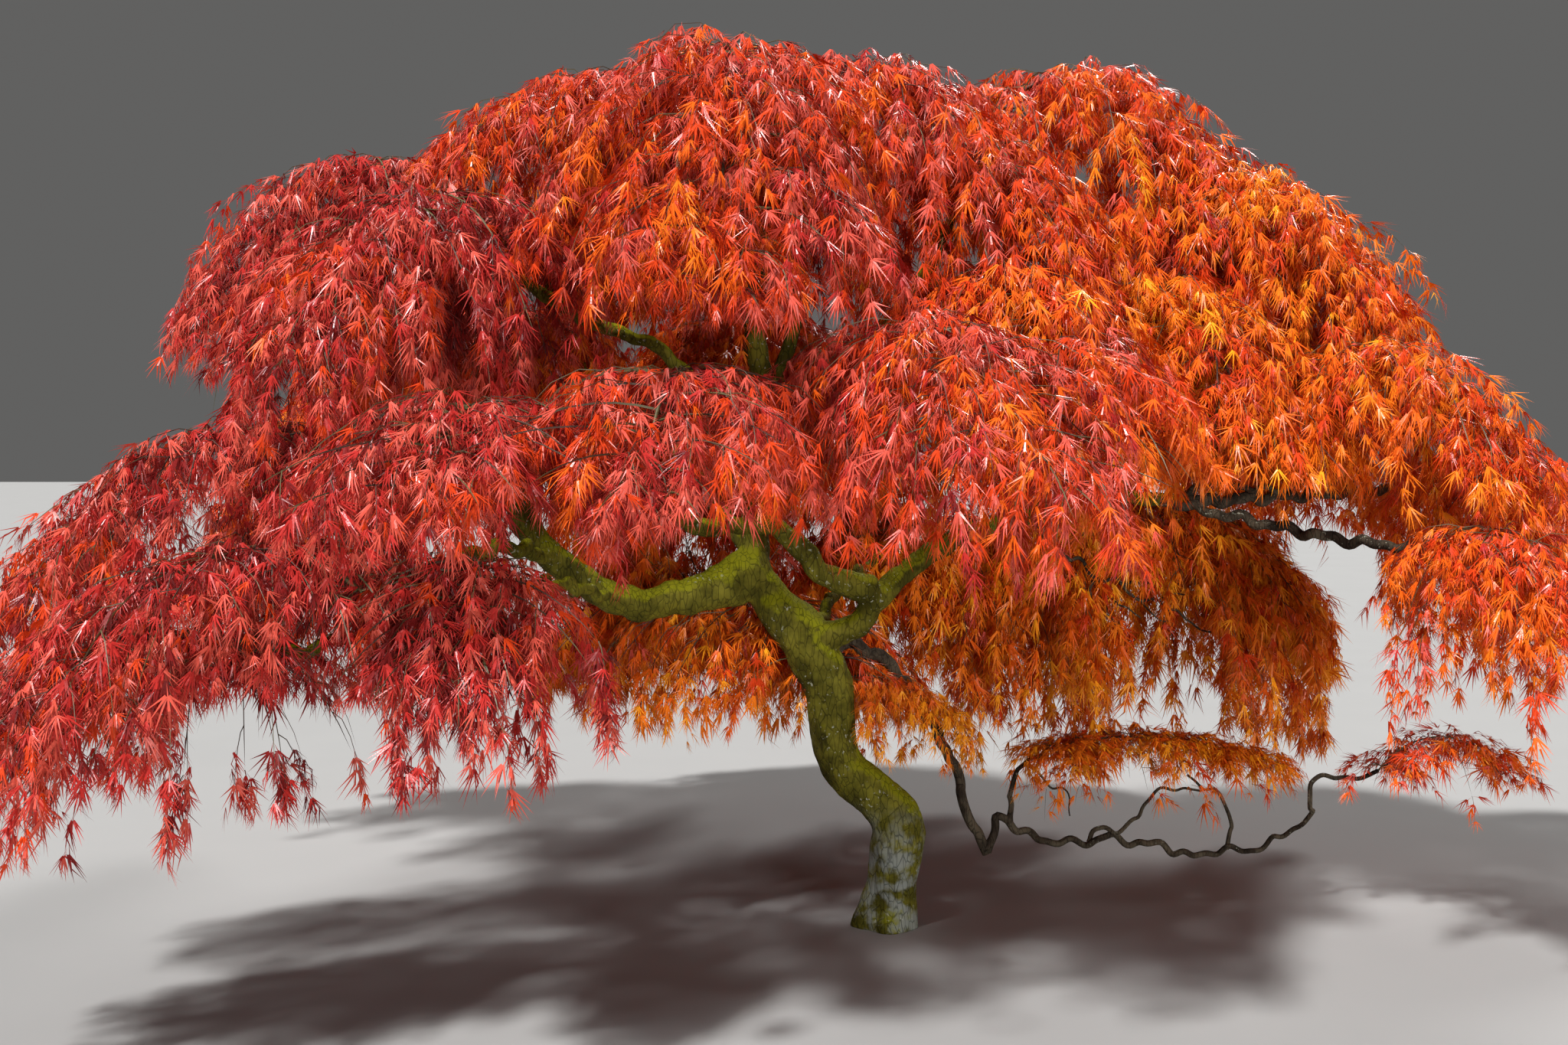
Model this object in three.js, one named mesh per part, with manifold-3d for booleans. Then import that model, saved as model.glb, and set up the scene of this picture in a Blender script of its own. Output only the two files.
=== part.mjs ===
// A weeping cut-leaf maple: a leaning trunk, its boughs, and the masses of foliage that hang from
// them like layered skirts. Sizes are in millimetres, +Z is up, and the origin is the middle of the
// flat cut under the trunk, at ground level. The front is towards -Y, with +X on the right.
import * as THREE from 'three';
import { mergeVertices } from 'three/addons/utils/BufferGeometryUtils.js';
import Module from 'manifold-3d';

const wasm = await Module();
wasm.setup();

// Clearances
const SEAT_GAP = 0.3;        // a bough to the wood that carries it, and a mass to its bough
const FREE_GAP = 3;          // a twig or a leaf to every other sub-part
const LEAF_GAP = 2;          // a leaf to the other leaves and twigs of its own mass
const LEAF_TRIES = 5;        // directions that a leaf tries before it is skipped
const LOWEST_LEAF = 420;     // height over the ground under which no leaf hangs
const GROWN_GAPS = 1.5;      // gaps by which a limb's radius grows, so that its flat sides clear too
const MERGE_DISTANCE = 1e-4; // within which two corners of a closed geometry are one

// Trunk
const TRUNK_SIDES = 11;
const TRUNK_STEP = 90;       // height between its rings
const FLARE_LOBES = 4;       // root swellings round the foot
const FLARE_DEPTH = 0.22;    // how far they stand out, as a share of the radius
const FLARE_HEIGHT = 110;    // height in which they fade out
const CUT_DEPTH = 60;        // how far the trunk is drawn below the ground before it is cut flat
const GROUND_SIZE = 1000;    // side of the block that makes that cut

// Boughs
const BOUGH_TAPER = 0.8;     // below 1 a bough thins sooner
const SHOOT_SIDES = 4;       // of the short shoots on the low run

// Foliage: a stem, side twigs on it, and hanging leaves on them, each standing for a spray. A pair
// of numbers is a range.
const THIN_SIDES = 3;        // of a stem and of a twig
const FULL_HALF_WIDTH = 600; // a mass narrower than this has smaller leaves and thinner twigs
const FULL_SKIRT = 600;      // a mass that hangs less than this has shorter leaves

const STEM_SEGMENTS = 5;
const STEM_RADIUS = 20;
const STEM_END_RADIUS = 13;
const STEM_SWAY = 0.16;      // of a stem to its sides, as a share of its length in plan
const STEM_WAVES = 1.2;      // waves of that sway

const TWIG_SEGMENTS = 3;
const TWIG_RADIUS = 9;
const TWIG_THINNING = 0.5;   // share of its radius that a twig loses on its way to its point
const FIRST_TWIG = 0.04;     // share of the stem before the twigs begin
const TURN_RANGE = [140, 22]; // degrees from a twig to the stem, at its hub and at its end
const TURN_CHANCE = 24;      // degrees by which chance changes that turn
const FULLNESS_RANGE = [0.72, 1]; // reach of the twigs in the narrow and wide parts of a mass
const WIDE_PHASES = [0.2, 0.9]; // half turns of the sine that gives the widest part
const REACH_RANGE = [0.62, 1]; // of a twig, as shares of the half width
const DROP_RANGE = [0.7, 1.2]; // of a twig's end, as shares of the skirt
const TWIG_LIFT = 0.08;      // height of a twig's arch, as a share of the half width
const TWIG_FALL = 2.2;       // power of its fall: above 1 it falls ever faster

const LEAF_PLACES = [0.12, 0.58, 0.96]; // where leaves are rooted, as shares of the twig
const LEAF_LENGTH = 570;     // of a leaf in a mass with a full skirt
const SHORTEST_LEAF = 0.55;  // share of that length in a mass with no skirt
const LEAF_SIZE_RANGE = [0.8, 1.2];
const LEAF_LOSS = 0.1;       // share of its length that a leaf loses with each direction it tries
const LEAF_WIDTH = 0.54;     // share of the length
const LEAF_SHOULDER = 0.4;   // where it is widest, as a share of the length
const LEAF_KEEL = 0.12;      // where it is thickest, as a share of the length
const LEAF_THICKNESS = 9;
const LEAF_ASIDE_RANGE = [0.7, 1.4]; // radians by which a side leaf turns from its twig
const STEEP_RANGE = [0.2, 1]; // how straight down a leaf hangs, at the twig's root and at its end
const LEVEL_LOST = 0.8;      // share of its level run that the steepest leaf loses

// Where each kind of chance starts in a mass's row of noise, and how far apart the tries are
const CHANCE = { sway: 1, turn: 10, reach: 40, drop: 70, swing: 200, size: 400 };
const TWIG_STRIDE = 10;
const TRY_STRIDE = 100;

// Trunk stations: centre x, centre y, height, radius
const TRUNK_STATIONS = [
  [-3, 0, 0, 118], [10, 0, 77, 106], [26, 0, 195, 101], [38, 0, 314, 108], [42, 0, 438, 110],
  [-38, 0, 550, 101], [-182, 0, 678, 98], [-230, 0, 806, 95], [-240, 0, 934, 95],
  [-262, 0, 1062, 104], [-314, 0, 1158, 108], [-352, 0, 1238, 98],
];

// Boughs: what carries it, root radius, tip radius, sides, mass at the tip or null, and points
// along the middle. A bough starts on the middle line of what carries it, nearest to its first
// point, and one that ends in a mass runs on to the hub of that mass.
const BOUGHS = {
  leader: ['trunk', 84, 21, 8, 'top_left', [
    [-352, 0, 1225], [-470, 0, 1360], [-550, 20, 1500], [-560, 50, 1660], [-520, 100, 2200],
    [-620, 80, 2800]]],
  left_bough: ['leader', 84, 32, 8, 'left_mid', [
    [-550, 20, 1500], [-714, -50, 1440], [-874, -120, 1410], [-1030, -200, 1386],
    [-1254, -320, 1504], [-1450, -420, 1720], [-1490, -460, 1860], [-1600, -500, 2000],
    [-1850, -560, 2070]]],
  hook_lower: ['trunk', 58, 50, 8, null, [
    [-352, 0, 1190], [-224, -20, 1240], [-120, -40, 1296], [-64, -60, 1380], [-80, -80, 1440]]],
  hook_upper: ['hook_lower', 52, 24, 7, 'front_left', [
    [-80, -80, 1425], [-218, -120, 1480], [-300, -150, 1520], [-358, -170, 1606],
    [-450, -185, 1690], [-605, -200, 1710], [-770, -300, 1710], [-1000, -600, 1850]]],
  right_bough: ['hook_lower', 48, 30, 7, null, [
    [-75, -70, 1385], [200, 100, 1580], [500, 200, 1700], [850, 250, 1780], [1100, 280, 1800],
    [1306, 280, 1780]]],
  rear_right_bough: ['leader', 40, 21, 6, 'rear_right_high', [
    [-550, 80, 1900], [-200, 300, 2300], [200, 500, 2800]]],
  left_high_bough: ['leader', 40, 21, 6, 'left_high', [
    [-550, 80, 1850], [-700, 0, 2050], [-910, -60, 2400], [-1250, -150, 2550]]],
  top_right_bough: ['leader', 34, 20, 6, 'top_right', [
    [-530, 100, 2150], [-380, 120, 2600], [-400, 90, 3000]]],
  top_back_bough: ['leader', 34, 20, 6, 'top_back', [[-530, 90, 2050], [-590, 350, 2600]]],
  top_front_bough: ['leader', 30, 20, 6, 'top_front', [[-570, 90, 2500], [-530, -60, 2900]]],
  left_low_bough: ['left_bough', 30, 20, 6, 'left_low', [[-1330, -360, 1590], [-1500, -800, 1660]]],
  left_foot_bough: ['left_low_bough', 21, 20, 5, 'left_foot', [
    [-1500, -800, 1655], [-1880, -1200, 1400]]],
  left_front_bough: ['left_bough', 24, 20, 5, 'left_front', [
    [-1120, -260, 1400], [-1300, -750, 1520]]],
  left_shoulder_bough: ['left_high_bough', 24, 20, 5, 'left_shoulder', [
    [-1250, -150, 2550], [-1550, 20, 2850]]],
  front_mid_bough: ['leader', 30, 20, 6, 'front_mid', [
    [-560, 50, 1720], [-680, -300, 2000], [-780, -650, 2080]]],
  front_right_bough: ['leader', 34, 20, 6, 'front_right', [
    [-540, 80, 1950], [-400, -300, 2200], [-230, -600, 2260]]],
  side_right_bough: ['leader', 34, 20, 6, 'side_right', [
    [-530, 90, 2050], [-200, 0, 2400], [80, -200, 2560]]],
  right_upper: ['right_bough', 28, 20, 6, 'right_far', [
    [1306, 280, 1780], [1700, 400, 1800], [2250, 600, 1820]]],
  right_lower: ['right_bough', 22, 20, 5, 'right_low', [
    [1180, 280, 1795], [1600, 100, 1700], [1900, -150, 1640]]],
  right_high_bough: ['right_bough', 24, 20, 5, 'right_high', [
    [850, 250, 1780], [1200, 250, 2080], [1500, 180, 2180]]],
  right_mid_bough: ['rear_right_bough', 28, 20, 5, 'right_mid', [
    [-100, 360, 2425], [350, 400, 2560]]],
  rear_right_shoulder_bough: ['rear_right_bough', 24, 20, 5, 'rear_right_shoulder', [
    [140, 470, 2725], [600, 520, 2850]]],
  back_right_bough: ['right_bough', 28, 20, 5, 'back_right', [
    [850, 250, 1780], [900, 600, 2100]]],
  curtain_right_bough: ['right_bough', 24, 20, 5, 'curtain_right', [
    [200, 100, 1580], [430, 560, 1660]]],
  curtain_mid_bough: ['trunk', 30, 20, 6, 'curtain_mid', [[-335, 20, 1190], [-180, 500, 1400]]],
  back_mid_bough: ['leader', 30, 20, 6, 'back_mid', [[-558, 50, 1680], [-550, 500, 2200]]],
  back_left_bough: ['leader', 34, 20, 6, 'back_left', [[-552, 25, 1570], [-1000, 400, 2100]]],
  low_limb: ['trunk', 30, 21, 6, null, [
    [-290, 20, 1110], [-170, 120, 1190], [-60, 160, 1140], [100, 220, 1000], [240, 240, 760],
    [325, 240, 590], [360, 235, 445], [450, 220, 250]]],
  low_run: ['low_limb', 18, 9, 5, 'low_tip', [
    [450, 220, 262], [490, 222, 400], [612, 235, 335], [735, 245, 302], [900, 252, 290],
    [1064, 262, 292], [1187, 268, 282], [1351, 280, 228], [1515, 290, 250], [1659, 298, 254],
    [1850, 300, 362], [1884, 300, 470], [1890, 300, 545], [2060, 300, 565]]],
  low_riser: ['low_run', 13, 9, 5, 'low_pad', [[590, 233, 350], [562, 245, 548], [620, 262, 640]]],
};

// Short shoots that are one piece with the low run: root radius, tip radius, points
const LOW_SHOOTS = [
  [11, 5, [[900, 252, 290], [1040, 262, 350], [1130, 267, 430], [1200, 272, 500], [1380, 290, 530]]],
  [10, 5, [[1515, 290, 250], [1535, 292, 385], [1480, 296, 470], [1340, 305, 580]]],
];

// Masses: hub, end of the stem, rise of the stem's arch, half width, skirt, side twigs, colour
const CRIMSON = 0xb0202a;
const SCARLET = 0xc93120;
const VERMILION = 0xd24a1e;
const ORANGE = 0xd9661f;
const AMBER = 0xc96f22;
const MASSES = {
  top_left: [[-740, 100, 3420], [-1690, 150, 3240], 275, 730, 500, 6, SCARLET],
  top_front: [[-650, -150, 3350], [-650, -1050, 2560], 465, 800, 600, 6, SCARLET],
  top_right: [[-480, 50, 3370], [430, -100, 3000], 380, 800, 600, 6, SCARLET],
  top_back: [[-680, 400, 3540], [-900, 1400, 2860], 460, 950, 600, 5, VERMILION],
  left_high: [[-1580, -250, 2760], [-2130, -750, 2440], 400, 750, 500, 6, CRIMSON],
  left_shoulder: [[-1900, 100, 3040], [-2640, 0, 2600], 345, 560, 500, 6, CRIMSON],
  left_mid: [[-2170, -600, 1960], [-3030, -800, 1530], 320, 600, 450, 6, CRIMSON],
  left_low: [[-1860, -1300, 1520], [-2570, -1450, 1450], 300, 650, 560, 5, CRIMSON],
  left_foot: [[-2210, -1450, 1330], [-2840, -1600, 1180], 220, 550, 460, 6, CRIMSON],
  left_front: [[-1450, -1250, 1540], [-1480, -1650, 1420], 250, 600, 220, 4, CRIMSON],
  front_left: [[-1480, -1050, 2020], [-1570, -1650, 1880], 300, 750, 500, 6, CRIMSON],
  front_mid: [[-830, -950, 2100], [-860, -1650, 1880], 350, 720, 450, 6, SCARLET],
  front_right: [[-80, -800, 2270], [360, -1350, 1890], 380, 800, 550, 6, SCARLET],
  side_right: [[280, -350, 2610], [810, -600, 2040], 300, 700, 600, 6, VERMILION],
  rear_right_high: [[480, 650, 3490], [1540, 720, 2890], 400, 740, 650, 6, VERMILION],
  rear_right_shoulder: [[1310, 450, 3040], [1990, 350, 2640], 330, 560, 600, 6, ORANGE],
  right_high: [[1750, 100, 2200], [2400, -100, 1900], 410, 590, 500, 6, VERMILION],
  right_mid: [[1010, 300, 2630], [1500, 0, 2100], 300, 700, 600, 6, ORANGE],
  right_low: [[2180, -350, 1620], [2530, -650, 1440], 220, 550, 380, 5, VERMILION],
  right_far: [[2630, 750, 1820], [3130, 960, 1560], 300, 600, 450, 6, ORANGE],
  back_right: [[1180, 850, 2450], [2050, 1300, 1900], 340, 850, 600, 6, ORANGE],
  curtain_right: [[790, 950, 1620], [1910, 1250, 1180], 300, 720, 560, 6, AMBER],
  curtain_mid: [[140, 1100, 1530], [640, 1850, 1260], 280, 800, 560, 5, AMBER],
  back_mid: [[-530, 1050, 2480], [-760, 2080, 1780], 340, 950, 700, 5, ORANGE],
  back_left: [[-1550, 850, 2500], [-2620, 1450, 1860], 340, 950, 700, 5, VERMILION],
  back_low_left: [[-250, 30, 1062], [-1330, 1500, 900], 460, 750, 420, 4, AMBER],
  trunk_side: [[-210, 40, 1030], [210, 150, 880], 100, 300, 300, 4, AMBER],
  low_pad: [[730, 280, 700], [1600, 340, 650], 110, 300, 210, 5, VERMILION],
  low_tip: [[2180, 300, 600], [2700, 250, 590], 210, 270, 200, 4, SCARLET],
};

// Bark colours
const TRUNK_BARK = 0x6b6a45;
const BOUGH_BARK = 0x5f5a3a;
const LOW_BARK = 0x4a3a2c;
const BARK_ROUGHNESS = 0.9;
const LEAF_ROUGHNESS = 0.6;

const radians = THREE.MathUtils.degToRad;
const UP = new THREE.Vector3(0, 0, 1);
const vector = (row) => new THREE.Vector3(row[0], row[1], row[2]);

// The number at a share of the way through a range
const within = ([low, high], share) => low + (high - low) * share;

// A number from 0 to 1 that depends only on the seed and the place k in its row
function noise(seed, k) {
  const value = Math.sin(seed * 12.9898 + k * 78.233) * 43758.5453;
  return value - Math.floor(value);
}

// A closed geometry as a solid
function toSolid(geometry) {
  geometry.deleteAttribute('normal');
  geometry.deleteAttribute('uv');
  const merged = mergeVertices(geometry, MERGE_DISTANCE);
  return new wasm.Manifold(new wasm.Mesh({
    numProp: 3,
    vertProperties: new Float32Array(merged.attributes.position.array),
    triVerts: new Uint32Array(merged.index.array),
  }));
}

// A solid as a mesh's geometry with flat faces
function toGeometry(solid) {
  const mesh = solid.getMesh();
  const geometry = new THREE.BufferGeometry();
  geometry.setAttribute('position', new THREE.BufferAttribute(mesh.vertProperties, 3));
  geometry.setIndex(new THREE.BufferAttribute(mesh.triVerts, 1));
  geometry.computeVertexNormals();
  return geometry;
}

// The largest of the separate bodies of a solid: a cut can leave a scrap
function largestBody(solid) {
  const bodies = solid.decompose();
  bodies.sort((a, b) => b.volume() - a.volume());
  return bodies[0];
}

// A closed cylinder bent along a curve. radiusAt(share, angle) is its radius at a share of the
// curve's length. Both ends reach further out by gap, or the far end is a point.
function bentCylinder(curve, segments, sides, radiusAt, { gap = 0, pointed = false } = {}) {
  const geometry = new THREE.CylinderGeometry(pointed ? 0 : 1, 1, 1, sides, segments);
  const frames = curve.computeFrenetFrames(segments);
  const position = geometry.attributes.position;
  const point = new THREE.Vector3();
  for (let i = 0; i < position.count; i += 1) {
    const ring = Math.round((position.getY(i) + 0.5) * segments);
    const share = ring / segments;
    const [x, z] = [position.getX(i), position.getZ(i)];
    const fromAxis = Math.hypot(x, z);
    const onAxis = fromAxis < MERGE_DISTANCE;
    const radius = onAxis ? 0 : radiusAt(share, Math.atan2(z, x)) / fromAxis;
    point.copy(curve.getPointAt(share));
    if (ring === 0) point.addScaledVector(frames.tangents[ring], -gap);
    if (ring === segments) point.addScaledVector(frames.tangents[ring], gap);
    point.addScaledVector(frames.normals[ring], x * radius);
    point.addScaledVector(frames.binormals[ring], -z * radius);
    position.setXYZ(i, point.x, point.y, point.z);
  }
  return toSolid(geometry);
}

// A point on the straight facets between a curve's rings, where wood really is
function facetPoint(curve, segments, share) {
  const ring = Math.min(segments - 1, Math.floor(share * segments));
  const from = curve.getPointAt(ring / segments);
  const to = curve.getPointAt((ring + 1) / segments);
  return from.lerp(to, share * segments - ring);
}

// The middle line of each limb, as the points of its rings
const middles = {};

// Trunk: rings through the stations, swollen in lobes at the foot, and cut flat at the ground
function trunkSolid(gap) {
  const foot = TRUNK_STATIONS[0];
  const points = [new THREE.Vector3(foot[0], foot[1], -CUT_DEPTH), ...TRUNK_STATIONS.map(vector)];
  const curve = new THREE.CatmullRomCurve3(points, false, 'centripetal');
  const segments = Math.ceil(curve.getLength() / TRUNK_STEP);
  middles.trunk = curve.getSpacedPoints(segments);
  const radiusAt = (share, angle) => {
    const height = Math.max(0, curve.getPointAt(share).z);
    let k = 0;
    while (k < TRUNK_STATIONS.length - 2 && TRUNK_STATIONS[k + 1][2] < height) k += 1;
    const [low, high] = [TRUNK_STATIONS[k], TRUNK_STATIONS[k + 1]];
    const part = THREE.MathUtils.clamp((height - low[2]) / (high[2] - low[2]), 0, 1);
    const plain = THREE.MathUtils.lerp(low[3], high[3], part);
    const fade = Math.exp(-((height / FLARE_HEIGHT) ** 2));
    return plain * (1 + FLARE_DEPTH * fade * (0.5 + 0.5 * Math.cos(FLARE_LOBES * angle))) + gap;
  };
  const whole = bentCylinder(curve, segments, TRUNK_SIDES, radiusAt, { gap });
  const ground = new THREE.BoxGeometry(GROUND_SIZE, GROUND_SIZE, GROUND_SIZE);
  ground.translate(0, 0, -GROUND_SIZE / 2);
  return whole.subtract(toSolid(ground));
}

// The point of a limb's middle line that is nearest to a target
function nearestOn(name, target) {
  const rings = middles[name];
  const line = new THREE.Line3();
  const found = new THREE.Vector3();
  let best = rings[0];
  for (let i = 1; i < rings.length; i += 1) {
    line.set(rings[i - 1], rings[i]).closestPointToPoint(target, true, found);
    if (found.distanceTo(target) < best.distanceTo(target)) best = found.clone();
  }
  return best;
}

// Limb: one tapering limb of few sides along a smooth curve
function limbSolid(name, root, tip, sides, path, gap) {
  const curve = new THREE.CatmullRomCurve3(path, false, 'centripetal');
  const segments = path.length;
  middles[name] = curve.getSpacedPoints(segments);
  const radiusAt = (share) => root + (tip - root) * share ** BOUGH_TAPER + gap * GROWN_GAPS;
  return bentCylinder(curve, segments, sides, radiusAt, { gap });
}

// Bough: a limb that starts inside what carries it and may end at the hub of a mass
function boughSolid(name, gap) {
  const [carrier, root, tip, sides, massName, points] = BOUGHS[name];
  const path = points.map(vector);
  path[0] = nearestOn(carrier, path[0]);
  if (massName) path.push(vector(MASSES[massName][0]));
  return limbSolid(name, root, tip, sides, path, gap);
}

// Stem of a mass: level in plan but for a slow sway, arched up by its rise and down to its end
class StemCurve extends THREE.Curve {
  constructor(mass, seed) {
    super();
    [this.hub, this.end] = [vector(mass[0]), vector(mass[1])];
    [this.rise, this.seed] = [mass[2], seed];
    this.run = this.end.clone().sub(this.hub);
    this.length = Math.hypot(this.run.x, this.run.y);
    this.forward = new THREE.Vector3(this.run.x, this.run.y, 0).divideScalar(this.length);
    this.aside = new THREE.Vector3(-this.forward.y, this.forward.x, 0);
  }

  getPoint(t) {
    const wave = Math.sin(2 * Math.PI * (STEM_WAVES * t + noise(this.seed, CHANCE.sway)));
    const point = this.hub.clone().addScaledVector(this.forward, this.length * t);
    point.addScaledVector(this.aside, STEM_SWAY * this.length * wave * t * (1 - t));
    point.z += this.run.z * t * t + 4 * this.rise * t * (1 - t);
    return point;
  }
}

// Side twig: out from the stem in one direction, lifted a little, then falling ever faster
class TwigCurve extends THREE.Curve {
  constructor(start, direction, reach, drop, lift) {
    super();
    Object.assign(this, { start, direction, reach, drop, lift });
  }

  getPoint(t) {
    const point = this.start.clone().addScaledVector(this.direction, this.reach * t);
    point.z += 4 * this.lift * t * (1 - t) - this.drop * t ** TWIG_FALL;
    return point;
  }
}

// The side twigs of a mass: they leave the stem by turns on its two sides, near its hub almost
// backwards and near its end almost forwards, so that the mass is full all round
function sideTwigs(mass, seed, stem) {
  const [, , , half, skirt, count] = mass;
  const heading = Math.atan2(stem.forward.y, stem.forward.x);
  const twigs = [];
  for (let k = 0; k < count; k += 1) {
    const share = within([FIRST_TWIG, 1], (k + 0.5) / count);
    const side = k % 2 ? 1 : -1;
    const astray = TURN_CHANCE * (noise(seed, CHANCE.turn + k) - 0.5);
    const angle = heading + radians(side * within(TURN_RANGE, share) + astray);
    const fullness = within(FULLNESS_RANGE, Math.sin(Math.PI * within(WIDE_PHASES, share)));
    twigs.push(new TwigCurve(
      facetPoint(stem, STEM_SEGMENTS, share),
      new THREE.Vector3(Math.cos(angle), Math.sin(angle), 0),
      half * fullness * within(REACH_RANGE, noise(seed, CHANCE.reach + k)),
      skirt * within(DROP_RANGE, noise(seed, CHANCE.drop + k)),
      TWIG_LIFT * half,
    ));
  }
  return twigs;
}

// Leaf: a kite of six faces that hangs from its root. Its back is flat, and its front rises to a
// keel close to the twig, where the leaf is thickest.
function leafSolid(root, outward, steep, length) {
  const along = outward.clone().multiplyScalar(1 - LEVEL_LOST * steep);
  along.z -= steep;
  along.normalize();
  const wide = along.clone().cross(outward).normalize();
  const face = wide.clone().cross(along);
  const shoulder = root.clone().addScaledVector(along, LEAF_SHOULDER * length);
  const keel = root.clone().addScaledVector(along, LEAF_KEEL * length);
  const half = LEAF_WIDTH * length / 2;
  const corners = [
    root,
    shoulder.clone().addScaledVector(wide, half),
    shoulder.clone().addScaledVector(wide, -half),
    root.clone().addScaledVector(along, length),
    keel.addScaledVector(face, LEAF_THICKNESS),
  ];
  const geometry = new THREE.BufferGeometry().setFromPoints(corners);
  geometry.setIndex([0, 1, 4, 1, 3, 4, 3, 2, 4, 2, 0, 4, 0, 2, 1, 3, 1, 2]);
  return toSolid(geometry);
}

// Everything placed so far, each with its box, to keep the sub-parts out of one another
const placed = [];

function place(owner, solid) {
  placed.push({ owner, solid, box: solid.boundingBox() });
  return solid;
}

// Whether a solid is clear of all that is placed. What it grows on is in the list allowed, where
// an owner's name stands for all of that sub-part.
function isClear(owner, solid, allowed) {
  const box = solid.boundingBox();
  return placed.every((other) => {
    if (allowed.includes(other.owner) || allowed.includes(other.solid)) return true;
    const gap = other.owner === owner ? LEAF_GAP : FREE_GAP;
    for (let i = 0; i < 3; i += 1) {
      if (box.min[i] > other.box.max[i] + gap) return true;
      if (box.max[i] < other.box.min[i] - gap) return true;
    }
    return solid.minGap(other.solid, gap) >= gap;
  });
}

// Leaf j of a side twig, at the first of its directions in which it is clear, or null. The last
// leaf hangs from the twig's end, and the others turn well aside, by turns to its two sides.
function growLeaf(mass, twig, j) {
  const last = j === LEAF_PLACES.length - 1;
  const share = LEAF_PLACES[j];
  const root = facetPoint(twig.curve, TWIG_SEGMENTS, share);
  const row = TWIG_STRIDE * twig.k + j;
  const side = (twig.k + j) % 2 ? 1 : -1;
  const size = mass.leaf * within(LEAF_SIZE_RANGE, noise(mass.seed, CHANCE.size + row));
  for (let tried = 0; tried < LEAF_TRIES; tried += 1) {
    const chance = noise(mass.seed, CHANCE.swing + row + TRY_STRIDE * tried);
    const swing = last ? chance - 0.5 : side * within(LEAF_ASIDE_RANGE, chance);
    const outward = twig.curve.direction.clone().applyAxisAngle(UP, swing);
    const length = size * (1 - LEAF_LOSS * tried);
    const leaf = leafSolid(root, outward, within(STEEP_RANGE, share), length);
    const low = leaf.boundingBox().min[2] < LOWEST_LEAF;
    if (!low && isClear(mass.name, leaf, [twig.solid])) return leaf;
  }
  return null;
}

// The wood: each bough is cut clear of the trunk and of every bough made before it
const wood = { trunk: trunkSolid(0) };
const grown = { trunk: trunkSolid(SEAT_GAP) };
for (const name of Object.keys(BOUGHS)) {
  let solid = boughSolid(name, 0);
  for (const other of Object.values(grown)) solid = solid.subtract(other);
  wood[name] = largestBody(solid);
  grown[name] = boughSolid(name, SEAT_GAP);
}
for (const [root, tip, points] of LOW_SHOOTS) {
  const path = points.map(vector);
  path[0] = nearestOn('low_run', path[0]);
  wood.low_run = wood.low_run.add(limbSolid('shoot', root, tip, SHOOT_SIDES, path, 0));
}
for (const [name, solid] of Object.entries(wood)) place(name, solid);

// The foliage: all stems first, then all side twigs, then all leaves, so that the masses share the
// room evenly. A twig or leaf that would touch another sub-part is skipped.
const foliage = Object.entries(MASSES).map(([name, mass], index) => {
  const seed = index + 1;
  const stem = new StemCurve(mass, seed);
  const small = Math.min(1, mass[3] / FULL_HALF_WIDTH);
  const fall = Math.min(1, mass[4] / FULL_SKIRT);
  const leaf = small * LEAF_LENGTH * THREE.MathUtils.lerp(SHORTEST_LEAF, 1, fall);
  return { name, mass, seed, stem, small, leaf, parts: [], twigs: [] };
});
for (const { name, stem, small, parts } of foliage) {
  const radiusAt = (share) => small * within([STEM_RADIUS, STEM_END_RADIUS], share);
  parts.push(place(name, bentCylinder(stem, STEM_SEGMENTS, THIN_SIDES, radiusAt)));
}
for (const mass of foliage) {
  sideTwigs(mass.mass, mass.seed, mass.stem).forEach((curve, k) => {
    const radiusAt = (share) => mass.small * TWIG_RADIUS * (1 - TWIG_THINNING * share);
    const solid = bentCylinder(curve, TWIG_SEGMENTS, THIN_SIDES, radiusAt, { pointed: true });
    if (!isClear(mass.name, solid, [mass.name])) return;
    mass.parts.push(place(mass.name, solid));
    mass.twigs.push({ curve, k, solid });
  });
}
for (let j = LEAF_PLACES.length - 1; j >= 0; j -= 1) {
  for (const mass of foliage) {
    for (const twig of mass.twigs) {
      const leaf = growLeaf(mass, twig, j);
      if (leaf) mass.parts.push(place(mass.name, leaf));
    }
  }
}

// The scene graph
function addMesh(group, name, solid, color, roughness) {
  const material = new THREE.MeshStandardMaterial({ color, roughness, metalness: 0 });
  const mesh = new THREE.Mesh(toGeometry(solid), material);
  mesh.name = name;
  group.add(mesh);
}

const tree = new THREE.Group();
for (const [name, solid] of Object.entries(wood)) {
  const color = name === 'trunk' ? TRUNK_BARK : name.startsWith('low_') ? LOW_BARK : BOUGH_BARK;
  addMesh(tree, name, solid, color, BARK_ROUGHNESS);
}
for (const { name, mass, parts } of foliage) {
  let solid = wasm.Manifold.union(parts);
  for (const other of Object.values(grown)) solid = solid.subtract(other);
  addMesh(tree, `foliage_${name}`, largestBody(solid), mass[6], LEAF_ROUGHNESS);
}

export default tree;
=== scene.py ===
"""A weeping cut-leaf maple in its reds and oranges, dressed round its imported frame.

Sizes are in metres unless a table says millimetres, +Z is up and the front is towards -Y. The trunk
and main boughs are one surface of mossy bark. The shoots and leaves grow by one seeded rule: an
arched stem, side twigs that fall from it, drooping shoots on them, and pairs of leaves that hang
from the shoots like hands.
"""
import math

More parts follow.
